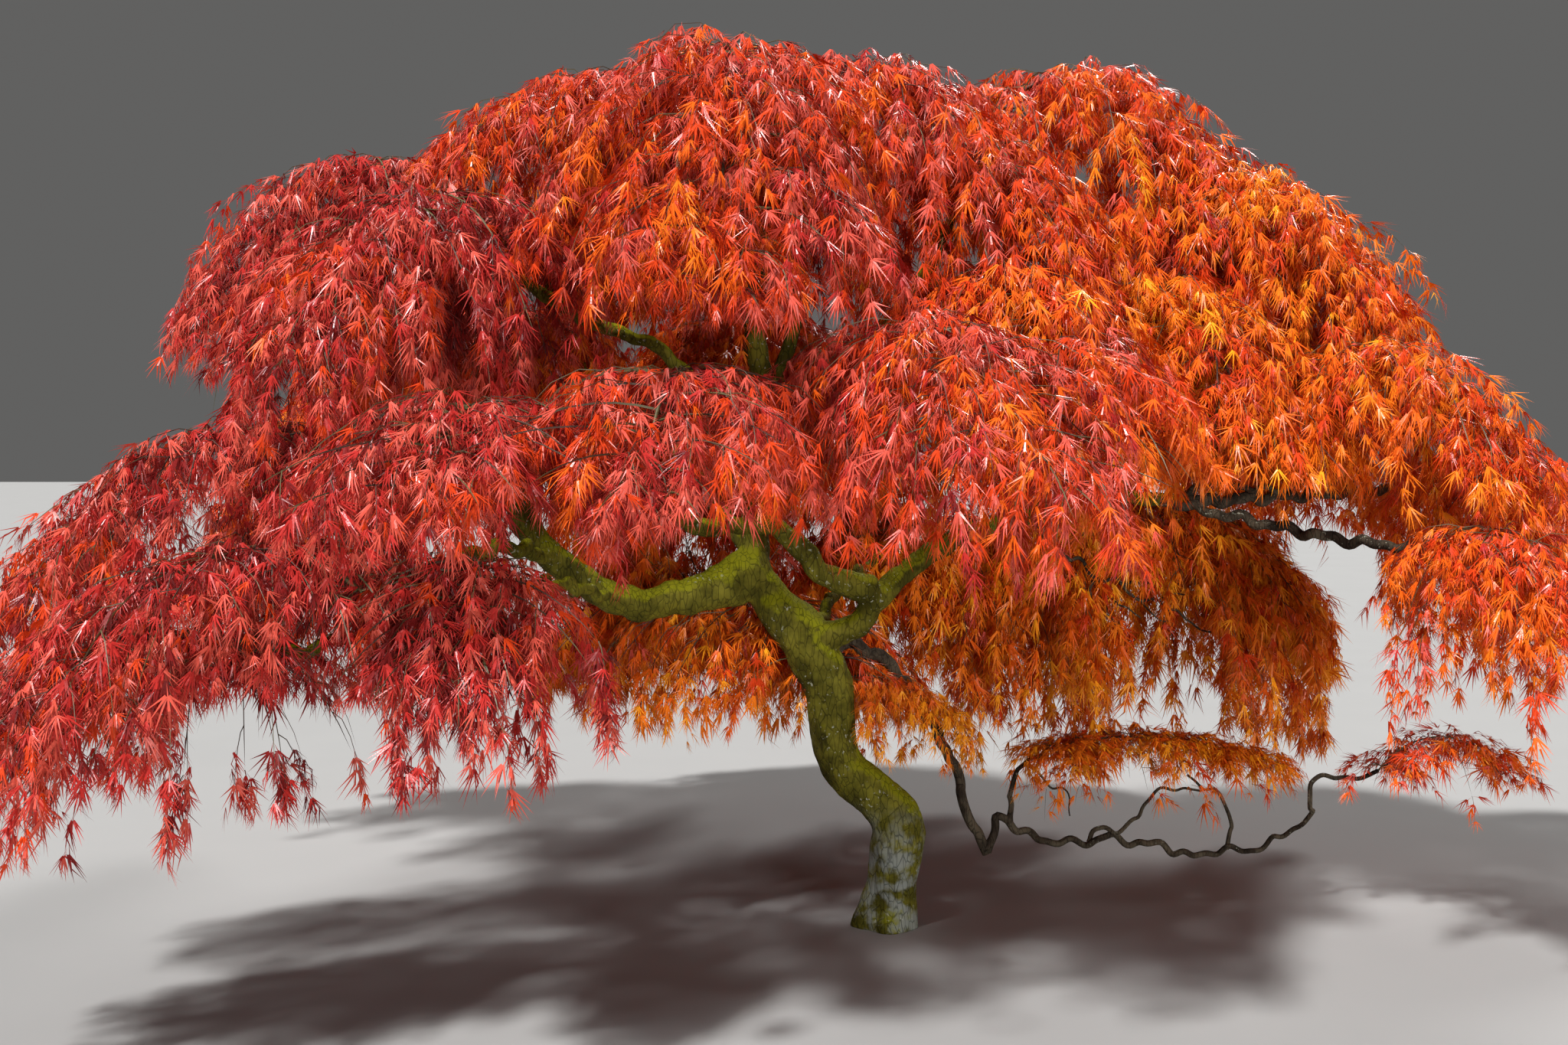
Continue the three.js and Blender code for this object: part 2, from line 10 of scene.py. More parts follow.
import bmesh
import bpy
import numpy as np
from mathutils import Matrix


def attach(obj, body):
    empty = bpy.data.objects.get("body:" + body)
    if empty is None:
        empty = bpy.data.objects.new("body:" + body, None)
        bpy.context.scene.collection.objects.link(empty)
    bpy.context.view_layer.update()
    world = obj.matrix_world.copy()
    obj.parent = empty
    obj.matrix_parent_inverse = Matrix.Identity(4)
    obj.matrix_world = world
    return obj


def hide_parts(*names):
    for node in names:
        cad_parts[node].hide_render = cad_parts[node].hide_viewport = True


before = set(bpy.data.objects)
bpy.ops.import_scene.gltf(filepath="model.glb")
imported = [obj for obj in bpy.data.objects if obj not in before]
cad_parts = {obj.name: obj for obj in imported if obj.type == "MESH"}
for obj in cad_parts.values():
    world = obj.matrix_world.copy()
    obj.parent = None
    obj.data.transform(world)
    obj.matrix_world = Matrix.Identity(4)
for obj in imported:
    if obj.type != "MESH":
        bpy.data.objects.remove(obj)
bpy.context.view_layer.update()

bl_info = {
    "name": "Weeping maple",
    "version": (1, 0, 0),
    "blender": (4, 5, 0),
    "location": "View3D > Sidebar > Maple",
    "description": "Bark, shoots and hanging leaves of a weeping cut-leaf maple",
    "category": "Object",
}

MM = 0.001

# Trunk stations: centre x, centre y, height and radius, in millimetres
TRUNK_STATIONS = [
    [-3, 0, 0, 118], [10, 0, 77, 106], [26, 0, 195, 101], [38, 0, 314, 108], [42, 0, 438, 110],
    [-38, 0, 550, 101], [-182, 0, 678, 98], [-230, 0, 806, 95], [-240, 0, 934, 95],
    [-262, 0, 1062, 104], [-314, 0, 1158, 108], [-352, 0, 1238, 98],
]

# Wood
BOUGH_TAPER = 0.8            # below 1 a bough thins sooner
COLLAR = 0.3                 # share by which a bough swells where it leaves its carrier
COLLAR_LENGTH = 2.2          # root radii in which that swelling fades
FLARE_LOBES = 4              # root swellings round the trunk's foot
FLARE_DEPTH = 0.22
FLARE_HEIGHT = 0.11
CUT_DEPTH = 0.06             # how far the trunk is drawn below the ground before it is cut flat
KINKS = (0.011, 0.005)       # of the small boughs and of the main ones, to either side
KINK_WAVES = ((34, 61), (29, 53))   # radians a metre of the kinks up and across
STRAND_LENGTH = 0.16         # of a limb, in which the strands round it wind by a radian
RING_STEP = 0.012            # between the rings of a limb
CURVE_STEPS = 24             # in which a curve is drawn between two of its points
TRUNK_SIDES = 48
BOUGH_SIDES = (12, 32)       # of the small boughs and of the main ones
BARE_SIDES = 8               # of bare shoots
BARK_LUMPS = ((0.16, 0.0045, 3), (0.05, 0.002, 5))   # size, height and seed
BARK_CREASES = (0.03, 0.0016, 8)     # size, depth and seed
CREASE_WIDTH = 0.12          # in terms of the swell that a crease follows
BARK_DRAWN = 0.45            # below 1 lumps and creases are drawn out along Z
JOINT_ROUNDS = 5             # of smoothing, which round the joints of the main wood
JOINT_EASE = 0.5             # how far each moves a point to the middle of its neighbours
MAIN_LIMBS = ["leader", "left_bough", "hook_lower", "hook_upper", "right_bough", "left_high_bough",
              "rear_right_bough"]
LOW_LIMBS = ["low_limb", "low_run", "low_riser"]
RIGHT_LIMBS = ["right_upper", "right_lower"]

# Foliage. A pair of numbers is a range.
FULL_HALF_WIDTH = 0.6        # a mass narrower than this has smaller leaves and thinner shoots
FULL_SKIRT = 0.6             # a mass that hangs less than this has shorter sprays
STEM_RADIUS = (0.010, 0.004)
STEM_SWAY = 0.16             # of a stem to its sides, as a share of its length in plan
STEM_WAVES = 1.2
STEM_RINGS = 26
STEM_SIDES = 7
STEM_SINK = 0.11             # how far a stem's arch lies below the top of its leaves
ROW_WIDTH = 0.24             # of half width for each row of side twigs, the first the source's
FEWEST_ROWS = 3
ROWS_MORE = {                # by how much some masses are fuller or thinner than that
    "curtain_right": 2.6, "curtain_mid": 2.5, "back_low_left": 5, "trunk_side": 2.4,
    "low_pad": 3, "low_tip": 2.6, "left_foot": 1.6, "left_low": 1.4, "left_front": 2,
    "back_mid": 2.1, "back_left": 1.25, "back_right": 0.9,
}
TWIG_TESTS = 17              # places at which a twig is tested, to end it at an opening
TWIG_RINGS = 9
SHOOT_RINGS = 5
LEAST_TWIG = 0.25            # share of a twig that must be left
TWIG_RADIUS = (0.0046, 0.0016)
FIRST_TWIG = 0.04            # share of the stem before the twigs begin
TURN_RANGE = (140, 22)       # degrees from a twig to the stem, at its hub and at its end
TURN_CHANCE = 24
FULLNESS_RANGE = (0.72, 1.0)
WIDE_PHASES = (0.2, 0.9)
REACH_RANGE = (0.62, 1.0)    # of a twig, as shares of the half width
DROP_RANGE = (0.7, 1.2)      # of a twig's end, as shares of the skirt
TWIG_LIFT = 0.05             # of the half width
TWIG_FALL = 2.2              # power of its length with which a twig falls
HUB_TWIGS = 6                # in the ring round each hub
HUB_REACH = 0.62             # of those, as a share of the reach of the others
HUB_DROP = 0.8
HUB_CHANCE = 0.6             # of the angle between two of them, by which chance turns one
SPRAY_LENGTH = 0.57          # of a shoot with its leaves in a mass with a full skirt
SHORTEST_SPRAY = 0.55
SHOOT_RADIUS = (0.0022, 0.0009)
FEWEST_SHOOTS = 4            # on a side twig
SHOOT_PLACES = (0.05, 1)     # shares of a twig between which its shoots grow
FIRST_SHOOT = 0.02           # share of a twig below which chance moves none
SHOOT_JITTER = 0.6           # of the space between shoots, by which chance moves one
SHOOT_SHARE = (0.5, 0.9)     # of the spray's length that a shoot takes, by chance
SHOOT_ASIDE = (0.4, 1.2)     # radians by which a shoot turns from its twig
SHOOT_CREST = 0.17           # by which a shoot arches up, as a share of its length
CREST_SHOOTS = 3             # on the stem, for each spacing of shoots
CREST_ASIDE = (0.1, 1.6)     # radians by which a shoot on a stem turns from it
CREST_STEEP = (0.1, 0.5)     # of a shoot on a stem, as the place on a twig that falls as much
CREST_LIFT = (0.02, 0.3)     # of a shoot on a stem, as a share of its length
SHOOT_TIP = 0.09             # of a shoot's end above the hem, for the leaf that hangs there
LEAST_SHOOT = 0.1            # a shoot for which the hem leaves less is left out
STEEP_RANGE = (0.2, 0.95)    # how straight down a shoot falls, at the twig's root and at its end
LEVEL_LOST = 0.8             # of a shoot's level run where it falls straight
LOWEST_LEAF = 0.36           # above the ground
GAP_RAG = 0.35               # by how much an opening is ragged, as a share of its radius
GAP_LUMPS = 0.25             # size of the lumps of that ragged edge
GAP_SEED = 9
SIGHT_MARKS = (14, 12)       # places at which a limb that shows and a gap are tested
LEAST_DROP = 0.06            # of a side twig
HANG = 0.55                  # of a spray's length, by which it hangs below its twig
HEM_RAG = 0.16               # by how much the hem of a mass is ragged
TASSEL_SIZE = 0.34           # of the clusters that the shoots fall into
THIN_RANGE = (-0.9, -0.35)   # shoots are left out where the swell of the clusters is below this

# Leaf: a stalk and seven hanging lobes, as shares of the lobes' length
STALK_LENGTH = 0.3
SIDE_LOBES = (               # degrees from the stalk, and length
    (-80, 0.6), (-54, 0.82), (-27, 0.96), (27, 0.96), (54, 0.82), (80, 0.6),
)
MIDDLE_LOBE = ((0, 1.0),)
LOBE_BASE = 0.04             # of a side lobe's short side from the stalk's end
LOBE_BEND = 0.42             # share of the middle lobe at which it is widest and bends down
LOBE_WIDTH = 0.064
BENT_FALL = 44               # degrees by which the far part of the middle lobe falls further
LEAF_SHAPES = 14             # how differently leaves droop and spread
LOBE_TURN = 0.25             # radians of chance in a lobe's direction
LOBE_FALL = 25               # degrees of chance in its droop
LOBE_LENGTHS = (0.85, 1.1)   # by which chance changes its length
LEAF_SEEDS = {"spread": 77, "droop": 78, "side": 79, "middle": 80}
DROOP_RANGE = (8, 56)        # degrees by which a lobe falls from the leaf's flat
SPREAD_RANGE = (0.26, 0.7)   # of the lobe angles
SIZE_RANGE = (0.6, 1.25)     # of leaves, by chance
LEAF_PLACE = 0.55            # of a pair of leaves in its share of a shoot
FEWEST_PAIRS = 2
LEAF_HANG = (0.6, 0.4)       # how far a shoot's steepness and the place on it make leaves dip
LEAF_ROOM = 1.3              # leaf lengths that must be left above the hem
FAR_SIZE = 0.25              # share by which leaves are larger on the far side of the crown
FAR_DEPTH = 1.6              # and how far behind the trunk they are so
LEAF_DIP = (4, 70)           # degrees of a leaf below level, near the stem and in the skirt
DIP_CHANCE = 46              # and by how much chance changes that
LEAF_ASIDE = (8, 78)         # degrees by which a leaf turns from its shoot
HEADING_CHANCE = 0.5         # and radians by which chance turns it further
PADS = ["low_pad", "low_tip"]   # masses whose sprays lie flat
PAD_STEEP = 0.55
PAD_LEAF = 0.8               # the share of the full size that their leaves have at least
PAD_RISE = 20                # degrees by which their leaves are raised
LEAF_ROLL = 1.3              # radians of chance in a leaf's turn about its own stalk
MOST_LEAVES = 24000          # in one piece

# Tints from the coolest to the warmest, with the place of each mass's own tint in that row
TINTS = ["wine", "crimson", "rose", "scarlet", "vermilion", "orange", "amber"]
TINT_PLACE = {"crimson": 1.75, "scarlet": 3.0, "vermilion": 3.9, "orange": 4.25, "amber": 5.6}
WARMER = {                   # by how much some masses lie nearer the warm end than their tint
    "low_pad": 1.4, "low_tip": 1.0, "back_right": 0.6, "right_mid": 0.3,
    "back_low_left": -0.7, "curtain_mid": -0.5, "curtain_right": -0.4,
}
SPRAY_TINT = 1.3             # how far chance moves a spray along that row
PATCH_TINT = 0.8             # how far a patch of sprays is moved
PATCH_SIZE = 0.5
LEAF_TINT = 1.7              # how far a single leaf is moved
ROOT_SHADE = 1.5              # painted shade where the shoots overlap: how far the leaves at a shoot's root are moved to the dark end

# Materials
BARK_GLOSS = 0.12
LEAF_GLOSS = 0.24
BARK_GRAIN = 34.0            # creases of bark in a metre
GRAIN_DRAWN = 0.3            # below 1 they are drawn out along Z
GRAIN_DETAIL = (6.0, 0.65)   # detail and roughness of the noise in them
CELL_SCALE = 1.4             # of the cells that split the bark, in terms of the creases
CELL_EDGE = 0.12             # width of the splits
SPLIT_HEIGHT = 0.5           # share of the fine creases that is left in a split
MOSS_PATCHES = 1.6           # how much patches count beside the slope of the bark
MOSS_LIMIT = (-3.0, 2.3)     # the sum at which moss starts is the second plus the first times moss
MOSS_EDGE = 0.35
LICHEN_EDGE = 0.15           # to either side of the height to which lichen grows
LICHEN_SHARE = 0.8
SPOT_SHARE = 0.7
BARK_BUMP = (0.6, 0.006)     # strength and depth
LEAF_BUMP = (0.25, 0.002)
FLOOR_MOTTLE = 0.94          # of the floor's colour in its darker places
FLOOR_ROUGHNESS = 0.85
SKY_COLOUR = (1.0, 0.99, 0.97)
MAIN_COVER = (0.42, 0.42)    # moss, and the height to which lichen grows
SMALL_COVER = (0.36, -1.0)
DARK_COVER = (0.0, -1.0)

# Patterns: lumps a metre, detail and roughness of their noise
PATTERNS = {
    "mottle": (9.0, 5.0, 0.6), "moss": (5.0, 6.0, 0.7), "lichen": (11.0, 4.0, 0.55),
    "spots": (60.0, 2.0, 0.5), "spotted": (4.0, 2.0, 0.5), "shoots": (3.5, 3.0, 0.5),
    "leaf": (14.0, 3.0, 0.5), "veins": (160.0, 2.0, 0.5), "floor": (1.5, 2.0, 0.5),
}

# The values of a pattern between which its patches set in
PATCH_EDGES = {
    "mottle": (0.35, 0.68), "lichen": (0.42, 0.58), "spots": (0.64, 0.7), "spotted": (0.48, 0.6),
}

# Two values of a pattern or of the bark's relief, and what a property is at each
GREEN_SHARE = (0.42, 0.6, 0.0, 1.0)
SPLIT_SHADE = (0.2, 0.55, 0.45, 1.0)
BARK_ROUGHNESS = (0.0, 1.0, 0.95, 0.75)
SHOOT_ROUGHNESS = (0.3, 0.7, 0.75, 0.5)
LEAF_ROUGHNESS = (0.35, 0.65, 0.25, 0.38)

# Camera, as the photograph was taken
EYE = (-0.435, -7.04, 2.10)
PITCH = 3.174                # degrees below level
LENS = 38.67                 # millimetres, and so is the film
FILM_WIDTH = 36
SIGHT_END = 500              # how far the camera sees

# Floor and lights
FLOOR_HEIGHT = -0.001        # just below the cut under the trunk
LIGHTS = [                   # degrees of softness, tilt and heading, and share of gloss
    ("Key light", 6, 33, -42, 1.0), ("Front light", 14, 86, 24, 0.2),
    ("Back light", 14, 48, 150, 0.5),
]

# The lowest leaves of the masses that end above the wood that they arch over, in millimetres
HEMS = {
    "top_front": 2420, "front_mid": 1760, "front_right": 1530, "front_left": 1620,
    "side_right": 1490, "left_front": 900, "left_low": 960, "left_foot": 720, "left_mid": 1080,
    "left_high": 1950, "back_low_left": 760, "right_high": 1640, "right_mid": 1500,
    "back_left": 860, "trunk_side": 540, "low_pad": 450, "low_tip": 450,
}

# Side twigs that hang across an opening, or fill the crown behind the fork and at the back: place
# on the stem and degrees from it, and reach and drop in millimetres, where a drop below 0 rises
HELD_TWIGS = {
    "left_foot": [
        [0.02, 178, 330, 330], [0.03, 130, 190, 390], [0.05, 95, 90, 420], [0.2, 60, 160, 480],
        [0.12, -120, 260, 420],
    ],
    "left_front": [[0.9, 60, 300, 420], [0.95, -10, 380, 480]],
    "front_mid": [[0.75, -60, 240, 340], [0.9, 20, 220, 380], [0.35, 75, 330, 420]],
    "front_left": [[0.6, 80, 520, 420]],
    "back_mid": [
        [0.4, 75, 750, 1000], [0.5, -75, 700, 950], [0.25, 120, 700, 900], [0.25, -120, 600, 900],
        [0.8, 40, 650, 560], [0.1, 170, 420, 700], [0.3, -95, 900, 850], [0.6, -80, 850, 750],
    ],
    "back_right": [
        [0.05, 150, 600, 750], [0.1, 115, 600, 750], [0.05, 85, 600, 700], [0.2, 100, 500, 800],
        [0.02, 180, 500, 800],
    ],
    "back_left": [
        [0.3, -120, 800, 900], [0.2, -170, 600, 900], [0.1, 170, 300, 900], [0.05, -150, 350, 1000],
        [0.15, 100, 300, 1000], [0.1, -175, 350, 1150], [0.25, 175, 450, 1100],
        [0.35, 150, 350, 1000],
    ],
    "curtain_right": [
        [0.5, -20, 600, 150], [0.7, 5, 480, 120], [0.6, 25, 560, 300], [0.4, -40, 600, 200],
        [0.75, -35, 480, 250], [0.5, -60, 350, 560], [0.55, 70, 350, 560], [0.42, -100, 400, 560],
        [0.62, -100, 300, 560],
    ],
    "back_low_left": [
        [0.35, -90, 350, -300], [0.45, 60, 350, -260], [0.55, 110, 400, -230],
        [0.65, -60, 420, -260], [0.75, 50, 420, -230], [0.85, -100, 400, -260],
        [0.95, 90, 450, -320], [0.95, 20, 450, -380], [0.55, -30, 300, -330], [0.6, 20, 200, -280],
        [0.45, -10, 260, -300], [0.7, -150, 300, -300], [0.8, 180, 320, -320], [0.5, 90, 220, -300],
        [0.9, -20, 300, -380],
    ],
    "curtain_mid": [
        [0.05, 150, 500, 50], [0.1, 124, 650, 100], [0.2, 140, 650, 250], [0.3, 100, 700, 150],
        [0.1, 170, 400, 20],
    ],
    "top_back": [
        [0.1, -110, 650, 900], [0.3, -95, 700, 950], [0.05, 100, 500, 900], [0.3, 100, 700, 900],
        [0.05, 180, 300, 800],
    ],
}

# Masses in which the leaves of those twigs stop at an opening
STOPPED_MASSES = ["left_foot", "left_front", "back_right", "curtain_right"]

# Stretches of limbs, and of shoots of the right limb by their row, that show through gaps in the
# foliage: limb, first and last share of it, and how far from it the leaves before it end, in
# millimetres
SHOWN_LIMBS = [
    ["left_bough", 0.04, 0.56, 85], ["leader", 0.0, 0.14, 80], ["trunk", 0.75, 1.0, 130],
    ["hook_lower", 0.0, 1.0, 100], ["hook_upper", 0.0, 0.42, 65], ["right_bough", 0.0, 0.12, 60],
    ["right_bough", 0.85, 1.0, 50], ["right_upper", 0.0, 0.7, 55],
    ["left_high_bough", 0.5, 0.9, 45], [0, 0.05, 0.8, 42], [1, 0.4, 1.0, 45],
]

# Gaps right through the crown: from, to and radius, in millimetres
SKY_GAPS = [
    [[-2790, -300, 2250], [-3300, -300, 2300], 120], [[2000, 100, 1600], [1990, 100, 760], 100],
    [[-2400, -1400, 1130], [-1930, -1400, 1130], 90], [[1790, 350, 1575], [2000, 350, 1560], 45],
]

# Boughs: carrier, root and tip radius, the mass that they end in, and points from the carrier's
# line, which the first is moved onto, in millimetres
BOUGHS = {
    "leader": ["trunk", 84, 21, "top_left", [
        [-352, 0, 1225], [-470, 0, 1360], [-550, 20, 1500], [-560, 50, 1660], [-520, 100, 2200],
        [-620, 80, 2800]]],
    "left_bough": ["leader", 84, 32, "left_mid", [
        [-550, 20, 1500], [-714, -50, 1440], [-874, -120, 1410], [-1030, -200, 1386],
        [-1254, -320, 1504], [-1450, -420, 1720], [-1490, -460, 1860], [-1600, -500, 2000],
        [-1850, -560, 2070]]],
    "hook_lower": ["trunk", 58, 50, None, [
        [-352, 0, 1190], [-224, -20, 1240], [-120, -40, 1296], [-64, -60, 1380], [-80, -80, 1440]]],
    "hook_upper": ["hook_lower", 52, 24, "front_left", [
        [-80, -80, 1425], [-218, -120, 1480], [-300, -150, 1520], [-358, -170, 1606],
        [-450, -185, 1690], [-605, -200, 1710], [-770, -300, 1710], [-1000, -600, 1850]]],
    "right_bough": ["hook_lower", 48, 30, None, [
        [-75, -70, 1385], [200, 100, 1580], [500, 200, 1700], [850, 250, 1780], [1100, 280, 1800],
        [1306, 280, 1780]]],
    "rear_right_bough": ["leader", 40, 21, "rear_right_high", [
        [-550, 80, 1900], [-200, 300, 2300], [200, 500, 2800]]],
    "left_high_bough": ["leader", 40, 21, "left_high", [
        [-550, 80, 1850], [-700, 0, 2050], [-910, -60, 2400], [-1250, -150, 2550]]],
    "top_right_bough": ["leader", 34, 20, "top_right", [
        [-530, 100, 2150], [-380, 120, 2600], [-400, 90, 3000]]],
    "top_back_bough": ["leader", 34, 20, "top_back", [[-530, 90, 2050], [-590, 350, 2600]]],
    "top_front_bough": ["leader", 30, 20, "top_front", [[-570, 90, 2500], [-530, -60, 2900]]],
    "left_low_bough": ["left_bough", 30, 20, "left_low", [
        [-1330, -360, 1590], [-1500, -800, 1660]]],
    "left_foot_bough": ["left_low_bough", 21, 20, "left_foot", [
        [-1500, -800, 1655], [-1880, -1200, 1400]]],
    "left_front_bough": ["left_bough", 24, 20, "left_front", [
        [-1120, -260, 1400], [-1300, -750, 1520]]],
    "left_shoulder_bough": ["left_high_bough", 24, 20, "left_shoulder", [
        [-1250, -150, 2550], [-1550, 20, 2850]]],
    "front_mid_bough": ["leader", 30, 20, "front_mid", [
        [-560, 50, 1720], [-680, -300, 2000], [-780, -650, 2080]]],
    "front_right_bough": ["leader", 34, 20, "front_right", [
        [-540, 80, 1950], [-400, -300, 2200], [-230, -600, 2260]]],
    "side_right_bough": ["leader", 34, 20, "side_right", [
        [-530, 90, 2050], [-200, 0, 2400], [80, -200, 2560]]],
    "right_upper": ["right_bough", 28, 20, "right_far", [
        [1306, 280, 1780], [1700, 400, 1800], [2250, 600, 1820]]],
    "right_lower": ["right_bough", 22, 20, "right_low", [
        [1180, 280, 1795], [1600, 100, 1700], [1900, -150, 1640]]],
    "right_high_bough": ["right_bough", 24, 20, "right_high", [
        [850, 250, 1780], [1200, 250, 2080], [1500, 180, 2180]]],
    "right_mid_bough": ["rear_right_bough", 28, 20, "right_mid", [
        [-100, 360, 2425], [350, 400, 2560]]],
    "rear_right_shoulder_bough": ["rear_right_bough", 24, 20, "rear_right_shoulder", [
        [140, 470, 2725], [600, 520, 2850]]],
    "back_right_bough": ["right_bough", 28, 20, "back_right", [
        [850, 250, 1780], [900, 600, 2100]]],
    "curtain_right_bough": ["right_bough", 24, 20, "curtain_right", [
        [200, 100, 1580], [430, 560, 1660]]],
    "curtain_mid_bough": ["trunk", 30, 20, "curtain_mid", [[-335, 20, 1190], [-180, 500, 1400]]],
    "back_mid_bough": ["leader", 30, 20, "back_mid", [[-558, 50, 1680], [-550, 500, 2200]]],
    "back_left_bough": ["leader", 34, 20, "back_left", [[-552, 25, 1570], [-1000, 400, 2100]]],
    "low_limb": ["trunk", 30, 21, None, [
        [-290, 20, 1110], [-170, 120, 1190], [-60, 160, 1140], [100, 220, 1000], [240, 240, 760],
        [320, 240, 600], [356, 235, 446], [420, 225, 320], [452, 220, 250]]],
    "low_run": ["low_limb", 18, 9, "low_tip", [
        [452, 220, 262], [482, 222, 345], [492, 225, 415], [535, 228, 398], [612, 235, 335],
        [735, 245, 302], [900, 252, 290], [961, 255, 318], [1064, 262, 292], [1187, 268, 282],
        [1351, 280, 228], [1515, 290, 250], [1659, 298, 254], [1771, 300, 322], [1850, 300, 362],
        [1893, 300, 400], [1884, 300, 470], [1888, 300, 545], [1967, 300, 578], [2089, 300, 562]]],
    "low_riser": ["low_run", 13, 9, "low_pad", [[585, 235, 400], [562, 245, 548], [620, 262, 640]]],
}

# Bare shoots of the low limb: root and tip radius, and points, in millimetres
LOW_SHOOTS = [
    [11, 5, [[900, 252, 292], [925, 255, 345], [1064, 262, 353], [1115, 265, 400],
             [1167, 270, 487], [1310, 280, 528], [1400, 290, 510]]],
    [10, 5, [[1515, 290, 252], [1535, 292, 385], [1495, 295, 466], [1340, 305, 580]]],
    [6, 3, [[633, 262, 630], [735, 266, 548], [805, 270, 500], [820, 272, 405]]],
]

# The same for the dark limb on the right: its upper prong, and bare twigs before the curtain
RIGHT_SHOOTS = [
    [20, 8, [[1200, 281, 1792], [1300, 290, 1800], [1390, 300, 1862], [1560, 320, 1850],
             [1720, 340, 1832], [1840, 350, 1868], [1980, 370, 1856], [2100, 380, 1870]]],
    [13, 4, [[640, 215, 1735], [700, 380, 1660], [800, 520, 1560], [930, 590, 1480],
             [985, 600, 1430], [1090, 600, 1400], [1180, 605, 1330], [1330, 600, 1290],
             [1440, 600, 1200], [1510, 600, 1175]]],
    [8, 3, [[985, 600, 1430], [960, 600, 1370], [1020, 600, 1320], [1100, 600, 1310],
            [1190, 600, 1240]]],
    [7, 3, [[1090, 600, 1400], [1200, 600, 1400], [1290, 600, 1350], [1400, 600, 1345]]],
    [6, 2, [[1180, 605, 1330], [1240, 600, 1265], [1320, 600, 1225]]],
]

# Masses of foliage: their stem's hub and end, and its rise, the half width, the skirt that hangs
# below it, side twigs in a row, and tint, in millimetres
MASSES = {
    "top_left": [[-740, 100, 3420], [-1690, 150, 3240], 275, 730, 500, 6, "scarlet"],
    "top_front": [[-650, -150, 3350], [-650, -1050, 2560], 465, 800, 600, 6, "scarlet"],
    "top_right": [[-480, 50, 3370], [430, -100, 3000], 380, 800, 600, 6, "scarlet"],
    "top_back": [[-680, 400, 3540], [-900, 1400, 2860], 460, 950, 600, 5, "vermilion"],
    "left_high": [[-1580, -250, 2760], [-2130, -750, 2440], 400, 750, 500, 6, "crimson"],
    "left_shoulder": [[-1900, 100, 3040], [-2640, 0, 2600], 345, 560, 500, 6, "crimson"],
    "left_mid": [[-2170, -600, 1960], [-3030, -800, 1530], 320, 600, 450, 6, "crimson"],
    "left_low": [[-1860, -1300, 1520], [-2570, -1450, 1450], 300, 650, 560, 5, "crimson"],
    "left_foot": [[-2210, -1450, 1330], [-2840, -1600, 1180], 220, 550, 460, 6, "crimson"],
    "left_front": [[-1450, -1250, 1540], [-1480, -1650, 1420], 250, 600, 220, 4, "crimson"],
    "front_left": [[-1480, -1050, 2020], [-1570, -1650, 1880], 300, 750, 500, 6, "crimson"],
    "front_mid": [[-830, -950, 2100], [-860, -1650, 1880], 350, 720, 450, 6, "scarlet"],
    "front_right": [[-80, -800, 2270], [360, -1350, 1890], 380, 800, 550, 6, "scarlet"],
    "side_right": [[280, -350, 2610], [810, -600, 2040], 300, 700, 600, 6, "vermilion"],
    "rear_right_high": [[480, 650, 3490], [1540, 720, 2890], 400, 740, 650, 6, "vermilion"],
    "rear_right_shoulder": [[1310, 450, 3040], [1990, 350, 2640], 330, 560, 600, 6, "orange"],
    "right_high": [[1750, 100, 2200], [2400, -100, 1900], 410, 590, 500, 6, "vermilion"],
    "right_mid": [[1010, 300, 2630], [1500, 0, 2100], 300, 700, 600, 6, "orange"],
    "right_low": [[2180, -350, 1620], [2530, -650, 1440], 220, 550, 380, 5, "vermilion"],
    "right_far": [[2630, 750, 1820], [3130, 960, 1560], 300, 600, 450, 6, "orange"],
    "back_right": [[1180, 850, 2450], [2050, 1300, 1900], 340, 850, 600, 6, "orange"],
    # painted light: the amber masses curtain_right, curtain_mid, back_low_left and trunk_side take
    # a bright tint that stands for sun shining through their leaves
    "curtain_right": [[790, 950, 1620], [1910, 1250, 1180], 300, 720, 560, 6, "amber"],
    "curtain_mid": [[140, 1100, 1530], [640, 1850, 1260], 280, 800, 560, 5, "amber"],
    "back_mid": [[-530, 1050, 2480], [-760, 2080, 1780], 340, 950, 700, 5, "orange"],
    "back_left": [[-1550, 850, 2500], [-2620, 1450, 1860], 340, 950, 700, 5, "vermilion"],
    "back_low_left": [[-250, 30, 1062], [-1330, 1500, 900], 460, 750, 420, 4, "amber"],
    "trunk_side": [[-210, 40, 1030], [210, 150, 880], 100, 300, 300, 4, "amber"],
    "low_pad": [[730, 280, 700], [1600, 340, 650], 110, 300, 210, 5, "vermilion"],
    "low_tip": [[2180, 300, 600], [2700, 250, 590], 210, 270, 200, 4, "scarlet"],
}

# The number at which each kind of chance starts
DRAWS = {
    "sway": 1, "twig turn": 10, "twig reach": 40, "twig drop": 70, "ring turn": 90,
    "ring reach": 110, "ring drop": 130, "shoot place": 300, "crest turn": 700, "crest steep": 800,
    "crest lift": 900, "shoot turn": 1000, "shoot length": 3000, "spray": 5000,
    "leaf place": 7000, "leaf turn": 9000, "leaf heading": 11000, "leaf dip": 13000,
    "leaf roll": 15000, "leaf size": 17000, "leaf shape": 19000, "leaf tint": 23000,
}
ROW_DRAWS = 31               # by which the seeds of two rows of side twigs differ
TWIG_DRAWS = 40              # numbers kept for the shoots of one twig
SHOOT_DRAWS = 50             # numbers kept for the leaves of one shoot


def noise(seed, k):
    """Numbers from 0 to 1: the fraction of 43758.5453 times the sine of 12.9898 seed + 78.233 k."""
    value = np.sin(seed * 12.9898 + np.asarray(k, float) * 78.233) * 43758.5453
    return value - np.floor(value)


def draw(kind, seed, k=0):
    """The chances of a kind, from 0 to 1, one for each of the numbers k."""
    return noise(seed, DRAWS[kind] + k)


def within(pair, share):
    """The number at a share of the way through a range."""
    return pair[0] + (pair[1] - pair[0]) * share


def unit(vectors):
    """Each vector over its own length."""
    return vectors / np.linalg.norm(vectors, axis=-1, keepdims=True)


